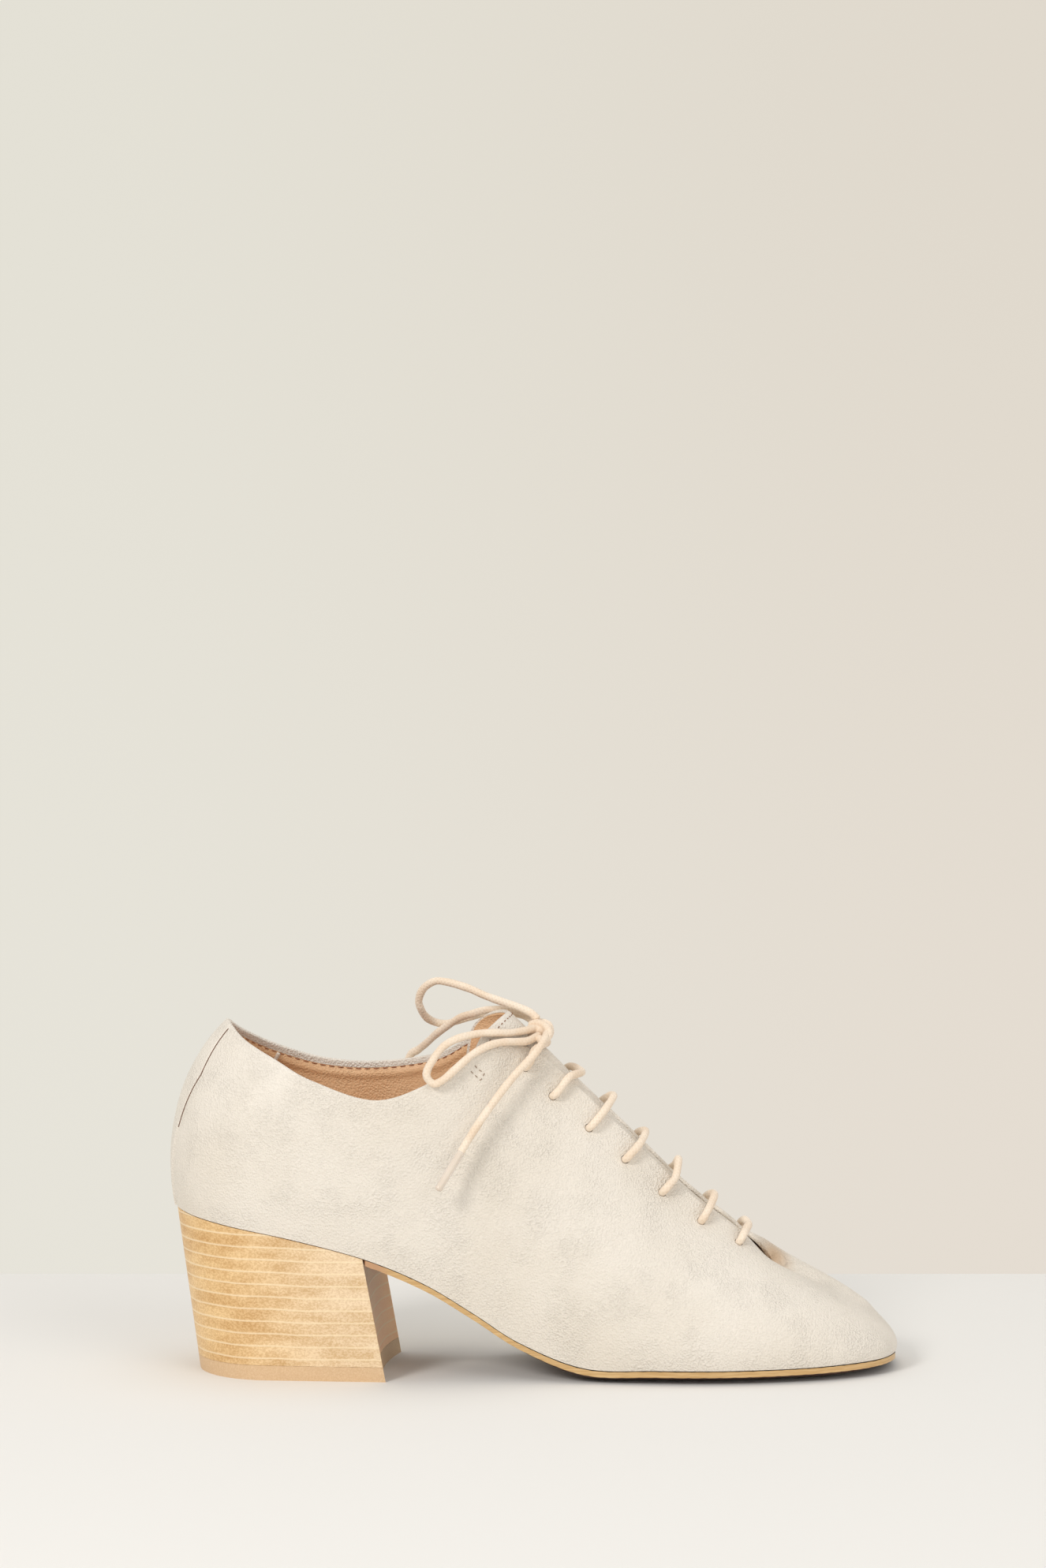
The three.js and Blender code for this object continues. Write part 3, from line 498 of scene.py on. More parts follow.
innerSections = [
    [-13.8, 47.3, 97.6, -7.6, 31, 102.3, 9.7, 15.5, 95, -0.4, 16.4],
    [-8, 70.8, 93.1, -3.3, 56.8, 96.5, 9.5, 15.5, 90, -0.4, 16.4],
    [1.2, 76.5, 85.8, 3.3, 73, 91.2, 8.1, 15.5, 80, 0, 15.5],
    [10.7, 71.6, 74, 10.7, 75.7, 89.8, 6.8, 16.4, 50, 0, 16.4],
    [18.1, 62.2, 60.7, 19.5, 66.2, 92.7, 9.5, 21.8, 70, 0, 21.8],
    [24.7, 56.2, 43.6, 25.9, 47.3, 100, 12.2, 27.3, 75, -1.6, 24.5],
    [31.3, 60.8, 25.5, 32.5, 22.2, 98.7, 12.2, 29, 66, -3.3, 24.5],
    [39.9, 79.7, 10.2, 42.6, 17.8, 79.5, 12.2, 25.5, 62, -3.3, 19],
    [49.4, 98.6, 8.9, 53.5, 15.7, 56.4, 12.2, 20, 60, -2.1, 12.7],
    [59.3, 104.9, 8.9, 60.3, 12.2, 44.8, 11.6, 16.4, 60, -0.4, 7.3],
    [67.1, 102.7, 9.3, 63.6, 10.5, 38.5, 10.8, 13.6, 60, 0, 4.5],
    [73.9, 91.9, 9.6, 65.3, 8.6, 34.9, 9.7, 11.4, 55, 0, 4.1],
    [79.4, 71.6, 10.2, 66.2, 5.9, 32.9, 9.2, 8.6, 52, 0, 5.4],
    [82.1, 43.2, 10.7, 66.4, 3.8, 32.2, 8.6, 7, 50, 0, 6.8],
]
sectionShares = np.array([backSection, *outerSections, toeSection, *innerSections[::-1]]) / 100
sectionCount = len(sectionShares)
toeStation = len(outerSections) + 1


def sectionControls():
    # each section is a cubic from the feather edge, out and up, then in to the top edge
    along, across, seat, topAlong, topAcross, top, bulge, rise, reach, lean, drop = sectionShares.T
    length, half, instep = last["length"], last["ballWidth"] / 2, last["instepHeight"]
    feather = np.stack([along * length, across * half, seat * last["seatHeight"]], 1)
    way = np.roll(feather, -1, 0) - np.roll(feather, 1, 0)
    outward = unit(np.stack([way[:, 1], -way[:, 0], np.zeros(len(way))], 1))
    upper = np.stack([topAlong * length, topAcross * half, top * instep], 1)
    low = feather + outward * (bulge * half)[:, None]
    low[:, 2] += rise * instep
    high = upper.copy()
    high[:, :2] += (feather - upper)[:, :2] * reach[:, None]
    high[:, 0] += lean * length
    high[:, 2] -= drop * instep
    return np.stack([feather, low, high, upper], 1)


controls = sectionControls()


def alongSections(station):
    # closed Catmull-Rom spline over the sections, for their four control points at once
    station = np.asarray(station, float) % sectionCount
    first = np.floor(station).astype(int)
    t = (station - first)[..., None, None]
    return spline(*(controls[(first + k) % sectionCount] for k in (-1, 0, 1, 2)), t)


# Fold in front of the throat: start and end are shares of the length between which it deepens and fades
fold = {
    "start": (0.613, 0.655), "end": (0.69, 0.765),
    "slant": 0.3, "side": 0.02, "depth": 0.0022, "width": 0.0046,
}


def foldDepth(point):
    # runs on from the throat's base towards the toe: depth * exp(-(distance / width) squared)
    x, y = point[..., 0], point[..., 1]
    start, end = (np.array(fold[key]) * last["length"] for key in ("start", "end"))
    middle = fold["side"] * last["ballWidth"] / 2 + np.maximum(0, x - start[1]) * fold["slant"]
    length = smoothRise(x, *start) * (1 - smoothRise(x, *end))
    return fold["depth"] * length * np.exp(-((y - middle) / fold["width"]) ** 2)


def upperSurface(station, share):
    # cubic up the section at a station: share 0 at the feather edge, 1 at the top edge
    station, share = np.broadcast_arrays(station, share)
    control = alongSections(station)
    s = share[..., None].astype(float)
    r = 1 - s
    weights = (r ** 3, 3 * s * r ** 2, 3 * s ** 2 * r, s ** 3)
    point = sum(weight * control[..., k, :] for k, weight in enumerate(weights))
    point[..., 2] -= foldDepth(point)
    return point


small = 0.02  # step to each side, in stations or shares, over which a slope is taken
underEdge = 0.97  # share just under the top edge, where the edge's own direction is taken


def upperNormal(station, share):
    share = np.asarray(share, float)
    above, below = np.minimum(share + small, 1), np.maximum(share - small, 0)
    around = upperSurface(station + small, share) - upperSurface(station - small, share)
    return unit(np.cross(around, upperSurface(station, above) - upperSurface(station, below)))


def insideUpper(station, share, depth):
    return upperSurface(station, share) - upperNormal(station, share) * np.asarray(depth)[..., None]


def shareBelow(station, depth):
    # share at which the wall is a depth below its top edge, found by halving
    station, depth = np.broadcast_arrays(np.asarray(station, float), depth)
    edge = upperSurface(station, 1.0)
    low, high = np.full(station.shape, 0.5), np.ones(station.shape)
    for _ in range(30):
        middle = (low + high) / 2
        near = lengthOf(upperSurface(station, middle) - edge) < depth
        low, high = np.where(near, low, middle), np.where(near, middle, high)
    return (low + high) / 2


# Eyelets: rows of plain punched holes on each side of the throat, top row first. rises and slacks are how
# far, in millimetres, the middle of each row of lace stands over the throat and slides down it, minus up it.
eyelets = {
    "rows": 7, "first": 0.079, "last": 0.1492,
    "topHoleInset": 0.0065, "topInset": 0.0095, "baseInset": 0.0056,
    "holeRadius": 0.0015, "laceRadius": 0.0013, "throat": (7, 12),
    "rises": (3.9, 3.6, 5.2, 3.8, 5, 3.9, 2.8), "slacks": (1.6, 3, 0, 0, -2, 0, 0.6),
}


def eyeletAt(row, inner):
    share = row / (eyelets["rows"] - 1)
    along = lerp(eyelets["first"], eyelets["last"], share)
    inset = lerp(eyelets["topInset"], eyelets["baseInset"], share) if row else eyelets["topHoleInset"]
    stations = np.linspace(*eyelets["throat"], 2001)
    stations = sectionCount - stations if inner else stations
    station = float(np.interp(along, alongSections(stations)[..., 3, 0], stations))
    edge = upperSurface(np.array(station), 1.0)
    way = unit(upperSurface(np.array(station + small), 1.0) - upperSurface(np.array(station - small), 1.0))
    around = station + np.linspace(-1, 1, 801)
    square = (upperSurface(around, shareBelow(around, inset)) - edge) @ way
    mouthStation = float(around[np.argmin(np.abs(square))])
    height = float(shareBelow(mouthStation, inset))
    return {
        "station": station, "edge": edge, "mouth": upperSurface(np.array(mouthStation), height),
        "out": upperNormal(np.array(mouthStation), height),
        "edgeOut": upperNormal(np.array(station), underEdge),
    }


eyeletPairs = [(eyeletAt(row, False), eyeletAt(row, True)) for row in range(eyelets["rows"])]
allEyelets = [eyelet for pair in eyeletPairs for eyelet in pair]
print("eyelets placed,", len(allEyelets))


# The lace's free parts: routes in millimetres, first point at the knot
laceRoutes = {
    "lace_loop_near": [
        (79.9, -2.6, 114.6), (75.8, -7, 114.4), (70.6, -11.2, 114.3), (66.6, -13.8, 114.8),
        (62.5, -15.5, 114.9), (58.6, -17.5, 114.6), (54.7, -19.8, 113.9), (51.6, -21.3, 112.7),
        (49.2, -22.6, 111.2), (47.4, -23.8, 109.2), (46.1, -24.8, 107.3), (44.6, -26, 104.9),
        (44, -26.8, 102.6), (44.9, -26.5, 100.7), (46.7, -26.8, 99.6), (48.8, -26.5, 100.5),
        (50.8, -25.8, 101.9), (53.4, -24.5, 104.1), (56.3, -22.8, 106.5), (59.4, -20.2, 108.7),
        (63, -18.2, 110.5), (66.6, -16, 111.5), (70, -14.2, 111.8), (73.7, -12, 111.5),
        (77.4, -9.2, 111.4), (81, -5.3, 112.6),
    ],
    "lace_loop_far": [
        (80.4, 0.4, 117.6), (78.2, 1.6, 119.4), (74.2, 3.6, 121), (69.5, 6, 122.2),
        (65.7, 7.6, 123.3), (62.3, 9, 124.4), (58.1, 10.6, 126.1), (54.3, 12, 127.2),
        (50.1, 13.4, 128.1), (46.1, 15, 128.1), (42.3, 17, 125.4), (40.7, 18.8, 121.4),
        (41.2, 20.2, 118.3), (43, 23, 114.9), (45.9, 25.6, 112.8), (49.6, 27.2, 112),
        (53.6, 26.6, 113.1), (57.9, 25.2, 114.6), (62.2, 22.8, 116), (66.5, 20.2, 116.9),
        (70.5, 17.4, 117.1), (74.5, 14.2, 117), (77.9, 10.8, 116.1), (81.4, 6.6, 113.6),
    ],
    "lace_end_near": [
        (83.8, -6.7, 113.5), (82.9, -9.9, 112), (81.6, -12.6, 110.2), (80.1, -14.4, 108.4),
        (77.9, -15.6, 106), (73.6, -18.4, 101.9), (68.5, -22.9, 96.2), (63, -27, 89.2),
        (58.9, -30, 83.4), (55.3, -32.5, 77.8),
    ],
    "lace_end_far": [
        (80.2, 5, 116.4), (78.2, 7.4, 117.7), (74.5, 9.4, 118.9), (70.5, 11.4, 119.3),
        (66.5, 13.4, 118.8), (62.8, 15.4, 118.2), (59, 17.2, 116.8), (55.3, 19, 115.5),
        (52.4, 20.8, 113.6), (49.7, 22.6, 111.5), (46.4, 25, 108.7), (43.2, 27.5, 105.4),
        (40.2, 30, 102.6), (37.5, 31.8, 100.4), (35, 33, 93), (33.5, 33.2, 84.5),
    ],
}
lace = {
    "radius": 0.0013, "gap": 0.0003,
    "tipRadius": 0.0015, "coreRadius": 0.0011, "tipLength": 0.014, "tipRings": 16,
}


def unevenRadius(path, radius, seed):
    # a hand-made cord swells and thins by a few hundredths along its length
    run = np.linspace(0, pathLength(path), len(path)) / radius
    return radius * (1 + 0.035 * np.sin(run * 0.55 + seed) + 0.02 * np.sin(run * 1.37 + 2.1 * seed))


# The knot: one turn that ends as the near end, one behind it and the strands they hold together,
# each a route and a radius in millimetres
knotStrands = [
    ([(78.5, -0.6, 115.6), (80.8, -1.8, 116.2), (83.2, -3.8, 115.6), (84.4, -6.2, 114.0), (84.0, -8.0, 112.4),
      (82.6, -8.6, 111.6), (81.0, -7.0, 111.8)], 1.35),
    ([(79.0, 2.4, 115.2), (81.6, 2.6, 115.9), (84.0, 1.2, 115.4), (84.9, -0.8, 113.8), (84.4, -2.6, 112.2),
      (82.8, -2.6, 111.4)], 1.35),
    ([(78.2, -2.0, 113.8), (80.4, -2.2, 114.0), (82.4, -2.6, 113.9), (83.4, -2.8, 113.6)], 2.1),
]


def addKnot():
    points, quads, fans, uvs, start = [], [], [], [], 0
    for number, (route, radius) in enumerate(knotStrands):
        path = throughPoints(np.array(route) * mm, 60)
        surface = tubeSurface(path, unevenRadius(path, radius * mm, number))
        found, faces, uv = tubeFaces(surface, 2 * lace["radius"])
        points.append(found)
        quads.append(faces[0] + start)
        fans.append(faces[1] + start)
        uvs.append(uv)
        start += len(found)
    return addPiece("laceKnot", np.vstack(points), [np.vstack(quads), np.vstack(fans)], laceCord,
                    np.vstack(uvs), ["lace_knot"])


def addTip(name, path, node):
    # clear film round the last stretch of cord
    way = unit(path[-1] - path[-4])
    start = path[-1] + way * lace["gap"]
    line = start + way * np.linspace(0, lace["tipLength"], lace["tipRings"])[:, None]
    core = addTube(name + "Core", line, lace["coreRadius"], laceCord)
    taper = lace["tipRadius"] * (1 - 0.12 * np.linspace(0, 1, lace["tipRings"]) ** 2)
    film = addTube(name + "Film", line, taper, clearFilm, [node])
    return [core, film]


knot = addKnot()
for number, (node, route) in enumerate(laceRoutes.items()):
    path = throughPoints(np.array(route) * mm, 150)
    radius = unevenRadius(path, lace["radius"], number + 0.5)
    piece = addTube(node.replace("lace_", "cord_"), path, radius, laceCord, [node])
    withPieces = []
    if "end" in node:
        side = node.replace("lace_end_", "")
        withPieces = addTip("tip_" + side, path, "aglet_" + side)
    if node == "lace_end_near":
        withPieces.append(knot)
print("bow and tips tied")


throatTop, throatBase = (alongSections(float(station))[3] for station in eyelets["throat"])
throatWay = unit((throatBase - throatTop) * [1, 0, 1])


# The tongue: top and base are stations; rise pairs a share of its length with how far its middle stands over
# the throat's edges, in hundredths of the instep height. It runs on past its solid as far as the last share.
tongueSizes = {
    "top": 5.75, "base": 11.2, "depth": 0.013, "under": 0.25, "thickness": 0.0018, "gap": 0.0006,
    "rise": ((0, 14.5), (0.1, 8.2), (0.22, 2.4), (0.4, -0.4), (1, -0.5), (1.42, 0.1)),
}


def tongueRise(share):
    shares, rises = np.array(tongueSizes["rise"]).T
    return np.interp(share, shares, rises) / 100 * last["instepHeight"]


def tongueSurface(a, b):
    # under each wall it follows the inside of the upper; between them a cubic climbs to a raised crest
    depth, under = tongueSizes["depth"], tongueSizes["under"]
    outerStation = lerp(tongueSizes["top"], tongueSizes["base"], a)
    near = b < 0.5
    station = np.where(near, outerStation, sectionCount - outerStation)
    inward = np.where(near, b, 1 - b)
    inset = last["wall"] + tongueSizes["gap"]

    def side(below):
        share = np.where(below > 0, shareBelow(station, below), 1.0)
        return insideUpper(station, share, np.full(station.shape, inset))

    flap = side(np.maximum(depth * (1 - inward / under), 0))
    foot = side(np.zeros(station.shape))
    climb = unit(foot - side(np.full(station.shape, 3 * mm)))
    edges = [upperSurface(s, 1.0) for s in (outerStation, sectionCount - outerStation)]
    lift = unit(np.cross(edges[1] - edges[0], throatWay))
    lift = lift * np.sign(lift[..., 2:])
    crest = (edges[0] + edges[1]) / 2 + lift * tongueRise(a)[..., None]
    span = lengthOf(foot - crest)[..., None]
    second = foot + climb * 0.42 * span
    third = crest.copy()
    third[..., 1] = (crest[..., 1] + foot[..., 1]) / 2
    t = np.clip((inward - under) / (0.5 - under), 0, 1)[..., None]
    r = 1 - t
    arch = r ** 3 * foot + 3 * t * r ** 2 * second + 3 * t ** 2 * r * third + t ** 3 * crest
    return np.where((inward < under)[..., None], flap, arch)


def addTongue():
    # outer leather and a thinner lining set a little inside its rim
    a, b = np.meshgrid(np.linspace(0, tongueSizes["rise"][-1][0], 90), np.linspace(0, 1, 73), indexing="ij")
    face = tongueSurface(a, b)
    normal = unit(np.cross(np.gradient(face, axis=0), np.gradient(face, axis=1)))
    thick = tongueSizes["thickness"]
    outside = np.stack([face, face - normal * 0.62 * thick])
    softenEdges(addBlock("tongueLeather", outside, creamLeather, ["tongue"]), 0.4 * mm)
    inner = slice(1, -1)
    backing = np.stack([(face - normal * 0.63 * thick)[inner, inner], (face - normal * thick)[inner, inner]])
    softenEdges(addBlock("tongueLining", backing, tanLining), 0.2 * mm)
    return face, normal


def barPath(row, pair):
    # out of one eyelet, over the ridge of the throat, sliding a little along it, and into the other
    outer, inner = pair
    radius, wall, gap = eyelets["laceRadius"], last["wall"], lace["gap"]
    across = unit(inner["edge"] - outer["edge"])
    lift = outer["edgeOut"] + inner["edgeOut"]
    lift = unit(lift - across * (lift @ across))
    share = (outer["station"] - tongueSizes["top"]) / (tongueSizes["base"] - tongueSizes["top"])
    height = max(eyelets["rises"][row] * mm, float(tongueRise(share)) + radius + 2 * gap)
    apex = (outer["edge"] + inner["edge"]) / 2 + throatWay * eyelets["slacks"][row] * mm + lift * height

    def half(eyelet):
        toEdge = unit(eyelet["edge"] - eyelet["mouth"])
        steps = ((-1.3 * wall, 0), (-wall / 3, 0), (radius, radius / 5), (radius + 3 * gap, radius * 1.7))
        line = [eyelet["mouth"] + eyelet["out"] * up + toEdge * over for up, over in steps]
        return line + [eyelet["edge"] + eyelet["edgeOut"] * (radius + 1.4 * gap + 0.4 * mm)]

    return throughPoints(half(outer) + [apex] + half(inner)[::-1], 80)


tongueFace, tongueNormal = addTongue()
for row, pair in enumerate(eyeletPairs):
    path = barPath(row, pair)
    radius = unevenRadius(path, eyelets["laceRadius"], row * 1.7)
    addTube(f"laceRow{row + 1}", path, radius, laceCord, [f"lace_bar_{row + 1}"])
print("tongue and rows of lace made")


# The upper: a leather wall with a turned edge, a step up its back, and a lining inside it. strip is the back
# strip's half width in stations, from the feather edge up; the collar band fades between the bandEnd stations.
upperSizes = {
    "leather": 0.0010, "turned": 0.0017, "roll": 0.0006,
    "strip": (0.2, 0.34, 0.5, 0.62, 0.42), "step": 0.0005,
    "bandTop": 0.0024, "bandBase": 0.0056, "band": 0.0007, "bandEnd": (7.0, 6.2),
}
# Dips round each eyelet's mouth and at the edge beside it: depth and half width in millimetres
dimples = {"mouth": (0.40, 3.0), "edge": (0.25, 1.8)}
# Soft creases: points in millimetres, depth (a ridge is negative) and half width
creases = [
    ([(150, 1.0, 45), (156.5, 1.0, 39), (161.5, 0.4, 34), (165.6, -0.6, 31.7)], 0.9, 2.0),
    ([(159.5, 0.4, 36), (162, 0, 33.8), (165.6, -0.7, 31.7), (170, -0.6, 30.4), (175, 0.4, 28.6)], 0.5, 1.1),
    ([(167, -3.4, 28.4), (171, -4.6, 25.4), (175.5, -6, 22.7), (181, -7.2, 20), (186, -8, 17.7)], 0.45, 1.5),
    ([(158, 7, 41), (166, 9.5, 37.5), (174, 11.5, 33), (183, 12, 27.5), (191, 9, 22)], -1.6, 6.0),
]


def relief(point):
    # outward shift: soft waves of the hide, dips at the eyelets, pinched edges under the lace and the creases
    x, y, z = (point[..., k] for k in range(3))
    shift = 0.07 * mm * np.sin(x * 155 + 3 * np.sin(z * 61)) * np.sin(z * 128 + 2 * np.sin(x * 47) + y * 40)
    for eyelet in allEyelets:
        for spot, (depth, width) in dimples.items():
            far = lengthOf(point - eyelet[spot])
            shift = shift - depth * mm * np.exp(-(far / (width * mm)) ** 2)
    for points, depth, width in creases:
        line = throughPoints(np.array(points) * mm, 24)
        gap = np.min([lengthOf(point - spot) for spot in line], axis=0)
        shift = shift - depth * mm * np.exp(-(gap / (width * mm)) ** 2)
    return shift


def halfStripAt(share):
    return np.interp(share, np.linspace(0, 1, len(upperSizes["strip"])), upperSizes["strip"])


def stationGrid(shares, fineSteps, coarseSteps):
    # stations of every section round the shoe, row by row, with the strip's edges as close lines; fineSteps
    # and coarseSteps are lines for each station, from the quarters forward and at the heel
    halfStrip = halfStripAt(shares)
    onStrip = np.array([0, 0.25, 0.5, 0.75, 0.9, 0.97, 1.0])
    offStrip = np.array([0.02, 0.05])
    strip = onStrip[:, None] * halfStrip
    foot = halfStrip + offStrip[:, None]
    blend = lerp(foot[-1], 1.0, np.linspace(0, 1, 7)[1:-1, None])
    stretches = ((1, 6, coarseSteps), (6, 24, fineSteps), (24, 29.001, coarseSteps))
    wall = np.concatenate([np.arange(first, end, 1 / steps) for first, end, steps in stretches])
    wall = wall[:, None] * np.ones(len(shares))
    side = np.vstack([strip, foot, blend])
    heights = np.concatenate([[1] * 5, [0.96, 0.8], [0, -0.25], [0] * 5])
    raised = np.concatenate([heights, np.zeros(len(wall)), heights[:0:-1]]) * upperSizes["step"]
    return np.vstack([side, wall, -side[:0:-1]]), raised


def wallGrid(rows, topRows, fineSteps, coarseSteps, topDepth):
    # shares run evenly up to a depth below the edge, then in a few close rows to the edge itself
    def sharesFor(stations):
        spread = lengthOf(upperSurface(stations, 1.0) - upperSurface(stations, underEdge)) / (1 - underEdge)
        turn = (1 - topDepth / spread)[:, None]
        close = lerp(turn, 1.0, np.linspace(0, 1, topRows)) + 1e-4 * (np.arange(topRows) == 0)
        return np.hstack([turn * np.linspace(0, 1, rows), close]), spread

    station, raised = stationGrid(sharesFor(np.zeros(1))[0][0], fineSteps, coarseSteps)
    share, spread = sharesFor(station[:, -1])
    return station, share, raised, spread


def addLeatherWall():
    rows, topRows = 62, 4
    station, share, raised, _ = wallGrid(rows, topRows, 14, 9, upperSizes["turned"])  # 14 and 9 lines a station
    base, normal = upperSurface(station, share), upperNormal(station, share)
    shift = relief(base)
    outer = base + normal * (shift + raised[:, None])[..., None]
    thick = np.full(share.shape, upperSizes["leather"])
    thick[:, rows:] = last["wall"]
    inner = base + normal * (shift - thick)[..., None]
    edgeUp = unit(upperSurface(station[:, -1], 1.0) - upperSurface(station[:, -1], underEdge))
    middle = (outer[:, -1] + inner[:, -1]) / 2
    across = (outer[:, -1] - inner[:, -1]) / 2
    swing = np.linspace(0, np.pi, 9)[1:-1]
    roll = [middle + across * np.cos(s) + edgeUp * upperSizes["roll"] * np.sin(s) for s in swing]
    profile = np.concatenate([outer, np.stack(roll, 1), inner[:, ::-1]], 1)
    faces, _ = gridFaces(*profile.shape[:2], True, True)
    return addPiece("upperLeather", profile, [faces], creamLeather, None, ["upper"], 55)


def addLiningWall():
    station, share, _, spread = wallGrid(70, 0, 9, 7, upperSizes["turned"] + 0.1 * mm)
    base, normal = upperSurface(station, share), upperNormal(station, share)
    shift = relief(base)
    below = (1 - share) * spread[:, None]
    half = sectionCount / 2
    collar = smoothRise(np.abs((station + half) % sectionCount - half), *upperSizes["bandEnd"])
    bandTop, bandBase = upperSizes["bandTop"], upperSizes["bandBase"]
    inBand = np.clip((below - bandTop) / (bandBase - bandTop), 0, 1)
    swell = upperSizes["band"] * collar * np.sin(np.pi * inBand) ** 0.7
    outer = base + normal * (shift - upperSizes["leather"] - 0.02 * mm)[..., None]
    inner = base + normal * (shift - last["wall"] - swell)[..., None]
    profile = np.concatenate([outer, inner[:, ::-1]], 1)
    faces, _ = gridFaces(*profile.shape[:2], True, True)
    return addPiece("upperLining", profile, [faces], tanLining, None, (), 55)


def punchEyelets(pieces):
    # one cutter with a cylinder along each eyelet's axis
    points, faces = [], []
    for number, eyelet in enumerate(allEyelets):
        line = eyelet["mouth"] + eyelet["out"] * np.linspace(-4, 4, 5)[:, None] * mm
        side = unit(np.cross(eyelet["out"], [1, 0.2, 0]))
        up = np.cross(side, eyelet["out"])
        angle = np.linspace(0, 2 * np.pi, 28, endpoint=False)[:, None]
        ring = (side * np.cos(angle) + up * np.sin(angle)) * eyelets["holeRadius"]
        found, group, _ = tubeFaces(line[:, None] + ring[None], 1)
        points.append(found)
        faces.append([each + number * len(found) for each in group])
    mesh = makeMesh("cutter", np.vstack(points), [np.vstack([each[k] for each in faces]) for k in (0, 1)])
    cutter = addObject("cutter", mesh)
    for piece in pieces:
        cut = piece.modifiers.new("eyelets", "BOOLEAN")
        cut.operation, cut.object, cut.solver = "DIFFERENCE", cutter, "EXACT"
        applyModifiers(piece)
    bpy.data.objects.remove(cutter)
    bpy.data.meshes.remove(mesh)


upperLeather, upperLining = addLeatherWall(), addLiningWall()
punchEyelets([upperLeather, upperLining])
print("upper and lining made,", len(upperLeather.data.polygons), "faces")


# Sole, insole and heel share the surface under the foot. turn is in degrees; bend and backTurn are shares of
# the way from the back of the heel round to its breast.
soleSizes = {
    "edge": 0.0019, "middle": 0.0031, "crown": 0.0024, "inset": 0.0003, "gap": 0.0003, "thinEnd": 0.25,
    "insole": 0.0020, "insoleFront": 0.93, "liningGap": 0.0006,
}
heelSizes = {
    "length": 0.065, "width": 0.051, "topLength": 0.025, "round": 0.025, "hollow": 0.0032,
    "topPiece": 0.005, "turn": 4.6, "bend": 0.55, "backTurn": 0.28,
}
sideStations = [np.linspace(0, toeStation, 1200), np.linspace(sectionCount, toeStation, 1200)]
outerEdge, innerEdge = (alongSections(stations)[:, 0] for stations in sideStations)
turnCos, turnSin = np.cos(radians(heelSizes["turn"])), np.sin(radians(heelSizes["turn"]))


def toShoe(x, y):
    # from the heel's own turned frame to the shoe's
    x, y = np.broadcast_arrays(np.asarray(x, float), y)
    return np.stack([x * turnCos + y * turnSin, y * turnCos - x * turnSin, np.zeros(x.shape)], -1)


def alongHeel(point):
    return point[..., 0] * turnCos - point[..., 1] * turnSin


breastStations = [
    float(np.interp(heelSizes["topLength"], alongHeel(edge), stations))
    for edge, stations in zip((outerEdge, innerEdge), sideStations)
]


def featherAt(station, inset):
    point = alongSections(station)[..., 0, :]
    way = alongSections(station + small)[..., 0, :] - alongSections(station - small)[..., 0, :]
    outward = unit(np.stack([way[..., 1], -way[..., 0], 0 * way[..., 0]], -1))
    return point - outward * inset


def patch(a, b, sides):
    # Coons patch: the two lengthwise edges mixed, plus the two cross edges mixed, less their corners
    a1, b1 = a[..., None], b[..., None]
    along = lerp(sides["outer"](a), sides["inner"](a), b1)
    over = lerp(sides["back"](b), sides["front"](b), a1)
    zero, one = np.zeros(a.shape), np.ones(a.shape)
    corners = lerp(lerp(sides["outer"](zero), sides["inner"](zero), b1),
                   lerp(sides["outer"](one), sides["inner"](one), b1), a1)
    return along + over - corners


def edgeAt(x, edge):
    return np.stack([np.interp(x, edge[:, 0], edge[:, k]) for k in (1, 2)], -1)


def seatPoint(plan, offset):
    # height between the two feather edges, rounded down across the forefoot
    x = np.clip(plan[..., 0], outerEdge[0, 0], outerEdge[-1, 0])
    outer, inner = edgeAt(x, outerEdge), edgeAt(x, innerEdge)
    across = np.clip((plan[..., 1] - outer[..., 0]) / np.maximum(mm, inner[..., 0] - outer[..., 0]), 0, 1)
    ball = smoothRise(x / last["length"], 0.25, 0.42) * (1 - 0.5 * smoothRise(x / last["length"], 0.72, 0.82))
    rim = (2 * across - 1) ** 2
    height = lerp(outer[..., 1], inner[..., 1], across) - soleSizes["crown"] * ball * (1 - rim) * (1 + rim)
    return np.stack([plan[..., 0], plan[..., 1], height + offset], -1)


def breastHollow(b):
    return heelSizes["hollow"] * 4 * b * (1 - b)


def breastLine(b, inset, forward):
    line = lerp(featherAt(breastStations[0], inset), featherAt(breastStations[1], inset), b[..., None])
    return line + toShoe(forward - breastHollow(b), 0)


def edgeBetween(first, end, inset):
    # one side of a patch, along the feather edge between two stations
    return lambda share: featherAt(lerp(first, end, share), inset)


def seatSides(inset):
    return {
        "outer": edgeBetween(1, breastStations[0], inset),
        "inner": edgeBetween(sectionCount - 1, breastStations[1], inset),
        "back": edgeBetween(1, -1, inset),
        "front": lambda b: breastLine(b, inset, 0),
    }


def restOutline(turn):
    # straight sides and half an ellipse at the back; turn is 0 at the back and -1 or 1 at the breast
    side, sweep = np.sign(turn), np.abs(turn)
    length, half = heelSizes["length"], heelSizes["width"] / 2
    ellipse, bend = heelSizes["round"], heelSizes["bend"]
    straightX = (sweep - bend) / (1 - bend) * (length - ellipse) - length / 2 + ellipse
    angle = np.minimum(sweep / bend, 1) * np.pi / 2
    x = np.where(sweep > bend, straightX, -length / 2 + ellipse * (1 - np.cos(angle)))
    return toShoe(x, side * half * np.where(sweep > bend, 1, np.sin(angle)))


restSides = {
    "outer": lambda a: restOutline(-lerp(heelSizes["backTurn"], 1, a)),
    "inner": lambda a: restOutline(lerp(heelSizes["backTurn"], 1, a)),
    "back": lambda b: restOutline(lerp(-heelSizes["backTurn"], heelSizes["backTurn"], b)),
    "front": lambda b: lerp(restOutline(-np.ones(b.shape)), restOutline(np.ones(b.shape)), b[..., None])
    + toShoe(-breastHollow(b), 0),
}


def unitGrid(rows, columns):
    return np.meshgrid(np.linspace(0, 1, rows), np.linspace(0, 1, columns), indexing="ij")


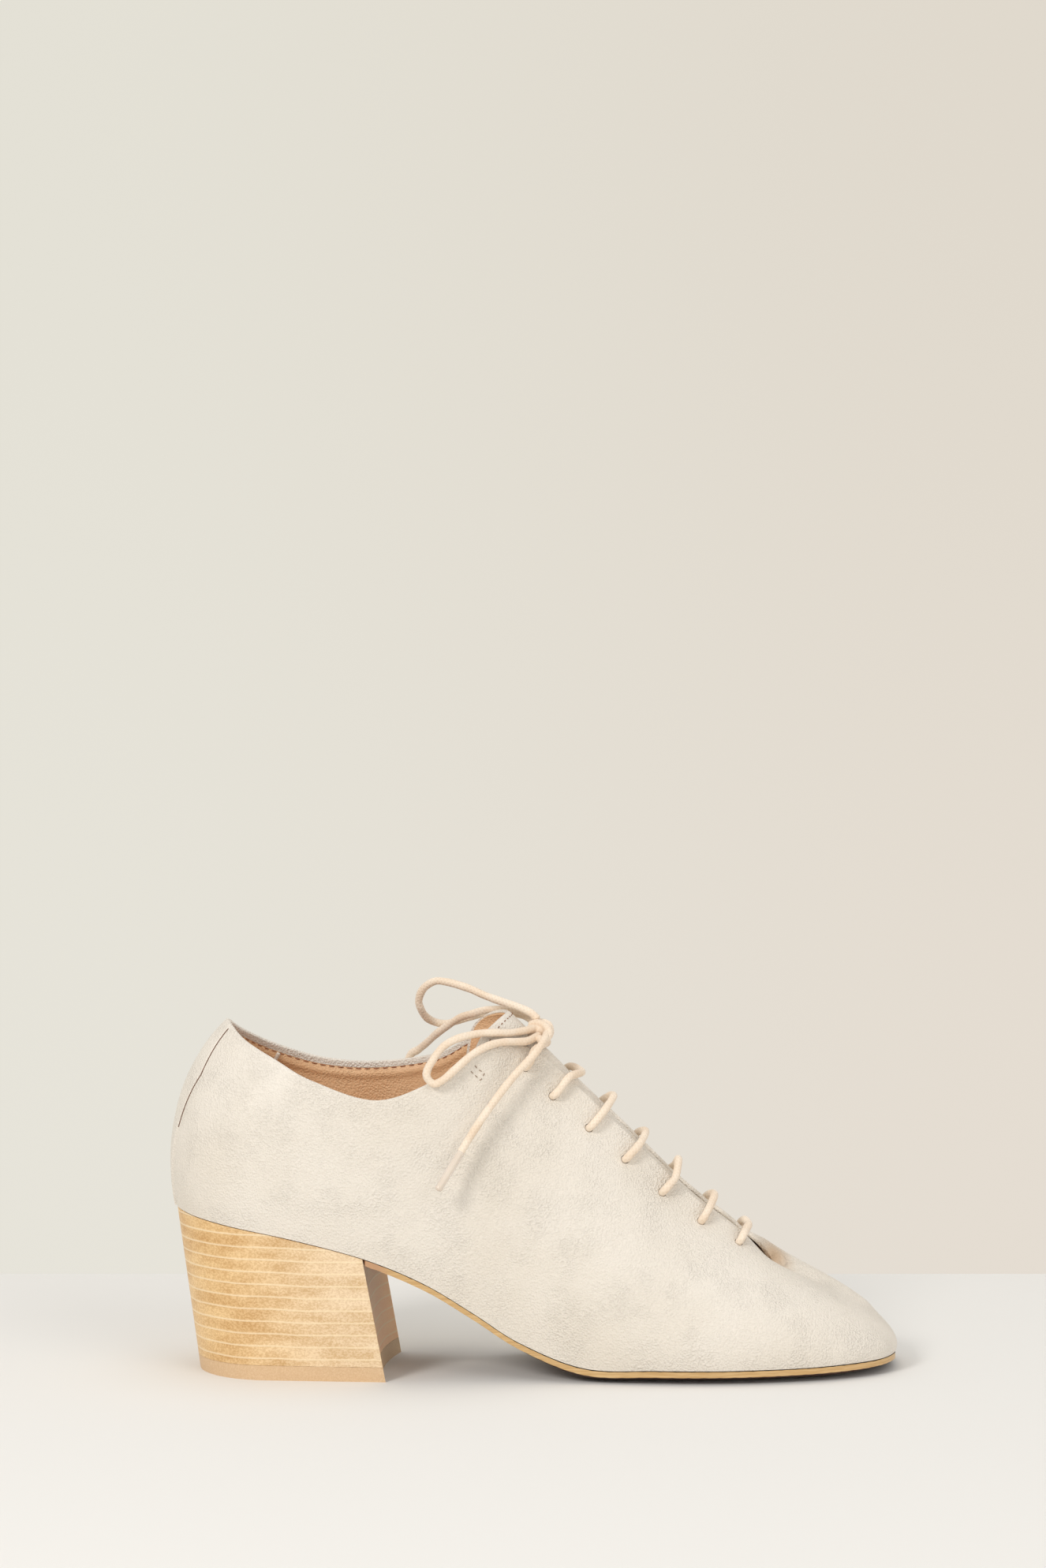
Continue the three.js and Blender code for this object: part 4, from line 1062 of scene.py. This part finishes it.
def addHeel():
    a, b = unitGrid(56, 41)
    top = seatPoint(patch(a, b, seatSides(soleSizes["inset"])), -soleSizes["gap"])
    rest = patch(a, b, restSides)
    low = heelSizes["topPiece"] / top[..., 2:]
    levels = [lerp(rest, top, lerp(low, 1.0, c)) for c in np.linspace(0, 1, 25)]
    stack = addBlock("heelStack", np.stack(levels), stackedLayers, ["heel_block"])
    # the breast's faces take the lighter copy, painted light
    paintFaces(stack, breastLayersLit, faceNormals(stack) @ [turnCos, -turnSin, 0] > 0.75)
    softenEdges(stack, 0.3 * mm)
    levels = np.stack([lerp(rest, top, low * c) for c in np.linspace(0, 0.985, 4)])  # a hair under the stack
    softenEdges(addBlock("heelTopPiece", levels, heelRubber, ["top_piece"]), 0.5 * mm)


def addOutsole():
    lean = (heelSizes["length"] / 2 - heelSizes["topLength"]) / alongSections(breastStations[0])[0, 2]
    start = soleSizes["gap"] + lean * (soleSizes["middle"] + soleSizes["gap"])
    corners = (toeStation - 2, toeStation + 2)
    inset = soleSizes["inset"]
    sides = {
        "outer": edgeBetween(breastStations[0], corners[0], inset),
        "inner": edgeBetween(breastStations[1], corners[1], inset),
        "back": lambda b: breastLine(b, inset, start),
        "front": edgeBetween(*corners, inset),
    }
    a, b = unitGrid(150, 61)
    top = seatPoint(patch(a, b, sides), -soleSizes["gap"])
    end = np.minimum(np.minimum(a, 1 - a), soleSizes["thinEnd"]) / soleSizes["thinEnd"]
    thickness = lerp(soleSizes["edge"], soleSizes["middle"], 1 - np.maximum((2 * b - 1) ** 4, 1 - end))
    bottom = top.copy()
    bottom[..., 2] = np.maximum(0, top[..., 2] - thickness)
    sole = addBlock("outsoleLeather", np.stack([top, bottom]), soleEdge, ["outsole"])
    # bottom faces and the rounded edges take the dark underside colour, painted shade along the sole's edge
    paintFaces(sole, soleUnderShaded, np.abs(faceNormals(sole)[:, 2]) > 0.55)
    softenEdges(sole, 0.52 * mm, finish=1)


def addInsole():
    inset = last["wall"] + soleSizes["liningGap"] + soleSizes["inset"]
    toes = [lerp(heel, toeStation, soleSizes["insoleFront"]) for heel in (0, sectionCount)]
    sides = {
        "outer": edgeBetween(1, toes[0], inset),
        "inner": edgeBetween(sectionCount - 1, toes[1], inset),
        "back": edgeBetween(1, -1, inset),
        "front": edgeBetween(*toes, inset),
    }
    a, b = unitGrid(120, 41)
    plan = patch(a, b, sides)
    swell = 0.5 * mm * (1 - (2 * b - 1) ** 6)
    offsets = (soleSizes["gap"], soleSizes["gap"] + soleSizes["insole"] + swell)
    layers = np.stack([seatPoint(plan, offset) for offset in offsets])
    softenEdges(addBlock("insoleCover", layers, tanLining, ["insole"]), 0.5 * mm)


addHeel()
addOutsole()
addInsole()
print("heel, sole and insole made")


# Stitches: short rounded threads along a line, sunk at both ends
def addStitches(name, path, outward, material, thread):
    # stitch k: centre + way * x + (side cos a + outward sin a) * radius * bulge(x), lifted in its middle
    radius = thread["radius"]
    count = max(2, int(pathLength(path) / thread["pitch"]))
    run = runAlong(path)
    at = (np.arange(count) + 0.5) * run[-1] / count
    centre, out, way = (pointsAt(at, run, v) for v in (path, outward, np.gradient(path, axis=0)))
    way = unit(way)
    out = unit(out - way * np.sum(out * way, 1, keepdims=True))
    side = np.cross(way, out)
    x = np.linspace(-0.5, 0.5, 7)
    swell = radius * np.sqrt(np.maximum(1 - (2 * x) ** 4, 0.02))
    angle = np.linspace(0, 2 * np.pi, 8, endpoint=False)
    spine = centre[:, None] + way[:, None] * (x * thread["length"])[None, :, None]
    spine = spine + out[:, None] * (radius * (0.9 - 2.2 * (2 * x) ** 4))[None, :, None]
    turned = side[:, None] * np.cos(angle)[None, :, None] + out[:, None] * np.sin(angle)[None, :, None]
    surface = spine[:, :, None] + turned[:, None] * swell[None, :, None, None]
    base, fans = tubeFaces(surface[0], 1)[1]
    size = len(x) * len(angle) + 2
    points = np.concatenate([surface.reshape(count, -1, 3), spine[:, :1], spine[:, -1:]], 1).reshape(-1, 3)
    shifts = (np.arange(count) * size)[:, None, None]
    faces = [(base + shifts).reshape(-1, 4), (fans + shifts).reshape(-1, 3)]
    return addPiece(name, points, faces, material)


# Collar stitching: a row round the lining just under the turned edge, as far as the end station on each side
collarThread = {
    "below": 2 * mm, "end": 6.6, "raised": 0.1 * mm,
    "pitch": 3 * mm, "length": 2.3 * mm, "radius": 0.17 * mm,
}
collarStations = np.linspace(-collarThread["end"], collarThread["end"], 400)
collarShare = shareBelow(collarStations, collarThread["below"])
collarOut = -upperNormal(collarStations, collarShare)
collarLine = upperSurface(collarStations, collarShare) + collarOut * (last["wall"] + collarThread["raised"])
addStitches("collarStitches", collarLine, collarOut, rustThread, collarThread)

# Tongue stitching: along one row of its grid just inside its top rim, over the columns in span
tongueThread = {"row": 3, "span": (20, 53), "pitch": 1.9 * mm, "length": 1.2 * mm, "radius": 0.16 * mm}
rim = (tongueThread["row"], slice(*tongueThread["span"]))
addStitches("tongueStitches", tongueFace[rim], tongueNormal[rim], tanThread, tongueThread)


def snapOuter(points):
    # points given by length and height are carried across to the outer wall: the nearest node of a fine grid
    station, share = np.meshgrid(np.linspace(0.5, 14, 1400), np.linspace(0, 1, 260), indexing="ij")
    wall = upperSurface(station, share)
    flat = [np.argmin((wall[..., 0] - x) ** 2 + (wall[..., 2] - z) ** 2) for x, z in points]
    station, share = station.ravel()[flat], share.ravel()[flat]
    return upperSurface(station, share), upperNormal(station, share)


# Small stitched loop on the outer side that holds the lining to the upper: length and height in millimetres
tackThread = {"pitch": 2 * mm, "length": 1.4 * mm, "radius": 0.15 * mm}
tackSpots = [(59.5, 104.9), (61.2, 103.3), (62.8, 102), (62.3, 101), (61.6, 100), (60, 101.4), (58.2, 103.1)]
tackLine, tackOut = snapOuter(np.array(tackSpots) * mm)
tackPath = throughPoints(tackLine, 40)
tackNormal = unit(throughPoints(tackLine + tackOut * mm, 40) - tackPath)
addStitches("tackStitches", tackPath, tackNormal, greyThread, tackThread)

# Dark line at the foot of the back strip's two edges: beside is in stations, shares run up the wall
stripSeam = {"shares": (0.46, 0.985), "beside": 0.012, "above": 0.06 * mm, "radius": 0.19 * mm}
stripShare = np.linspace(*stripSeam["shares"], 90)
for side, word in ((1, "Outer"), (-1, "Inner")):
    foot = side * (halfStripAt(stripShare) + stripSeam["beside"])
    wall = upperSurface(foot, stripShare)
    line = wall + upperNormal(foot, stripShare) * (relief(wall) + stripSeam["above"])[:, None]
    addTube("stripSeam" + word, line, stripSeam["radius"], seamShade)


# The lining's seam near the back of its inner side, and a cream tab over its top: foot is a share of the
# wall, top a depth under its edge, and raised how far the thread's middle stands over the lining
liningSeam = {"station": 27.88, "foot": 0.25, "top": 2.9 * mm, "raised": 0.02 * mm, "radius": 0.16 * mm}
liningTab = {
    "station": liningSeam["station"], "foot": float(shareBelow(liningSeam["station"], 5.8 * mm)),
    "top": 2.2 * mm, "raised": 0.75 * mm, "radius": 0.7 * mm,
}


def addLiningLine(name, line, count, thread):
    station = np.full(count, line["station"])
    share = np.linspace(line["foot"], float(shareBelow(line["station"], line["top"])), count)
    route = upperSurface(station, share) - upperNormal(station, share) * (last["wall"] + line["raised"])
    addTube(name, route, line["radius"], thread)


addLiningLine("liningSeam", liningSeam, 40, tanThread)
addLiningLine("liningTab", liningTab, 16, creamThread)
print("stitches sewn")


# Studio: a pale platform, a wall far behind it that glows by itself as painted light, a soft key from the left,
# a wide fill, a low bounce and a wide lamp above
studio = {
    "edge": 0.165, "drop": 0.6, "wallAt": 2.5, "half": 4.0, "height": 3.0, "floor": tone(234, 232, 228),
    "leftHigh": tone(227, 224, 213), "rightHigh": tone(223, 216, 204),
    "leftLow": tone(230, 227, 217), "rightLow": tone(228, 220, 209),
}


def addStage():
    # profile: platform, its back edge, the ground behind and the wall, carried across the width
    edge, drop = studio["edge"], studio["drop"]
    profile = np.array([
        (-3.0, 0), (-0.5, 0), (edge, 0), (edge + 0.001, -0.001), (edge + 0.001, -drop),
        (studio["wallAt"], -drop), (studio["wallAt"], studio["height"]),
    ])
    x = np.linspace(-studio["half"], studio["half"], 9)[:, None] * np.ones(len(profile))
    y, z = (np.broadcast_to(profile[:, k], x.shape) for k in (0, 1))
    quads = gridFaces(*x.shape)[0]
    mesh = bpy.data.meshes.new("floor")
    mesh.from_pydata(np.stack([x, y, z], -1).reshape(-1, 3).tolist(), [], quads.tolist())
    sheet = Sheet("studioPaper", IOR=1.4, Emission_Strength=0.97)
    across, depth, height = (sheet.axis(sheet.place(), k) for k in range(3))
    onWall = depth.ramp(edge, edge + 0.01)
    aside = across.ramp(-0.33, 0.48)
    low, high = (sheet.mix(aside, studio["left" + end], studio["right" + end]) for end in ("Low", "High"))
    # painted light: the wall's glow, a little brighter to the left and changing from its foot to its top
    glow = sheet.mix(onWall, tone(0, 0, 0), sheet.mix(height.ramp(-0.42, 0.5), low, high))
    paper = sheet.mix(onWall, studio["floor"], tone(40, 39, 37))
    mesh.materials.append(sheet.set(Base_Color=paper, Emission_Color=glow, Roughness=0.85))
    addObject("floor", mesh)


lamps = {
    "key": {"place": (-1.05, -1.5, 1.25), "size": 0.6, "power": 20, "warmth": (1.0, 0.98, 0.955)},
    "fill": {"place": (1.3, -1.6, 1.3), "size": 1.6, "power": 10, "warmth": (1.0, 0.99, 0.98)},
    "bounce": {"place": (1.7, -0.8, 0.12), "size": 0.5, "power": 3, "warmth": (1.0, 0.93, 0.85)},
    "top": {"place": (0.1, 0.2, 2.2), "size": 1.6, "power": 8, "warmth": (1.0, 1.0, 1.0)},
}
lampTarget = (0.08, 0, 0.05)
roomLight = {"Color": (1.0, 0.99, 0.975, 1.0), "Strength": 0.56}


def addLamp(name, place, size, power, warmth):
    # a round lamp turned to the middle of the shoe
    lamp = bpy.data.lights.new(name, "AREA")
    lamp.shape = "DISK"
    lamp.size = size
    lamp.energy = power
    lamp.color = warmth
    light = addObject(name, lamp)
    light.location = place
    aim = np.array(lampTarget) - place
    flat = float(np.hypot(aim[0], aim[1]))
    light.rotation_euler = (np.arctan2(flat, -aim[2]), 0, np.arctan2(aim[1], aim[0]) - np.pi / 2)


addStage()
for name, settings in lamps.items():
    addLamp(name, **settings)
scene.world = bpy.data.worlds.new("room")
scene.world.use_nodes = True
for name, value in roomLight.items():
    scene.world.node_tree.nodes["Background"].inputs[name].default_value = value
print("studio lit")
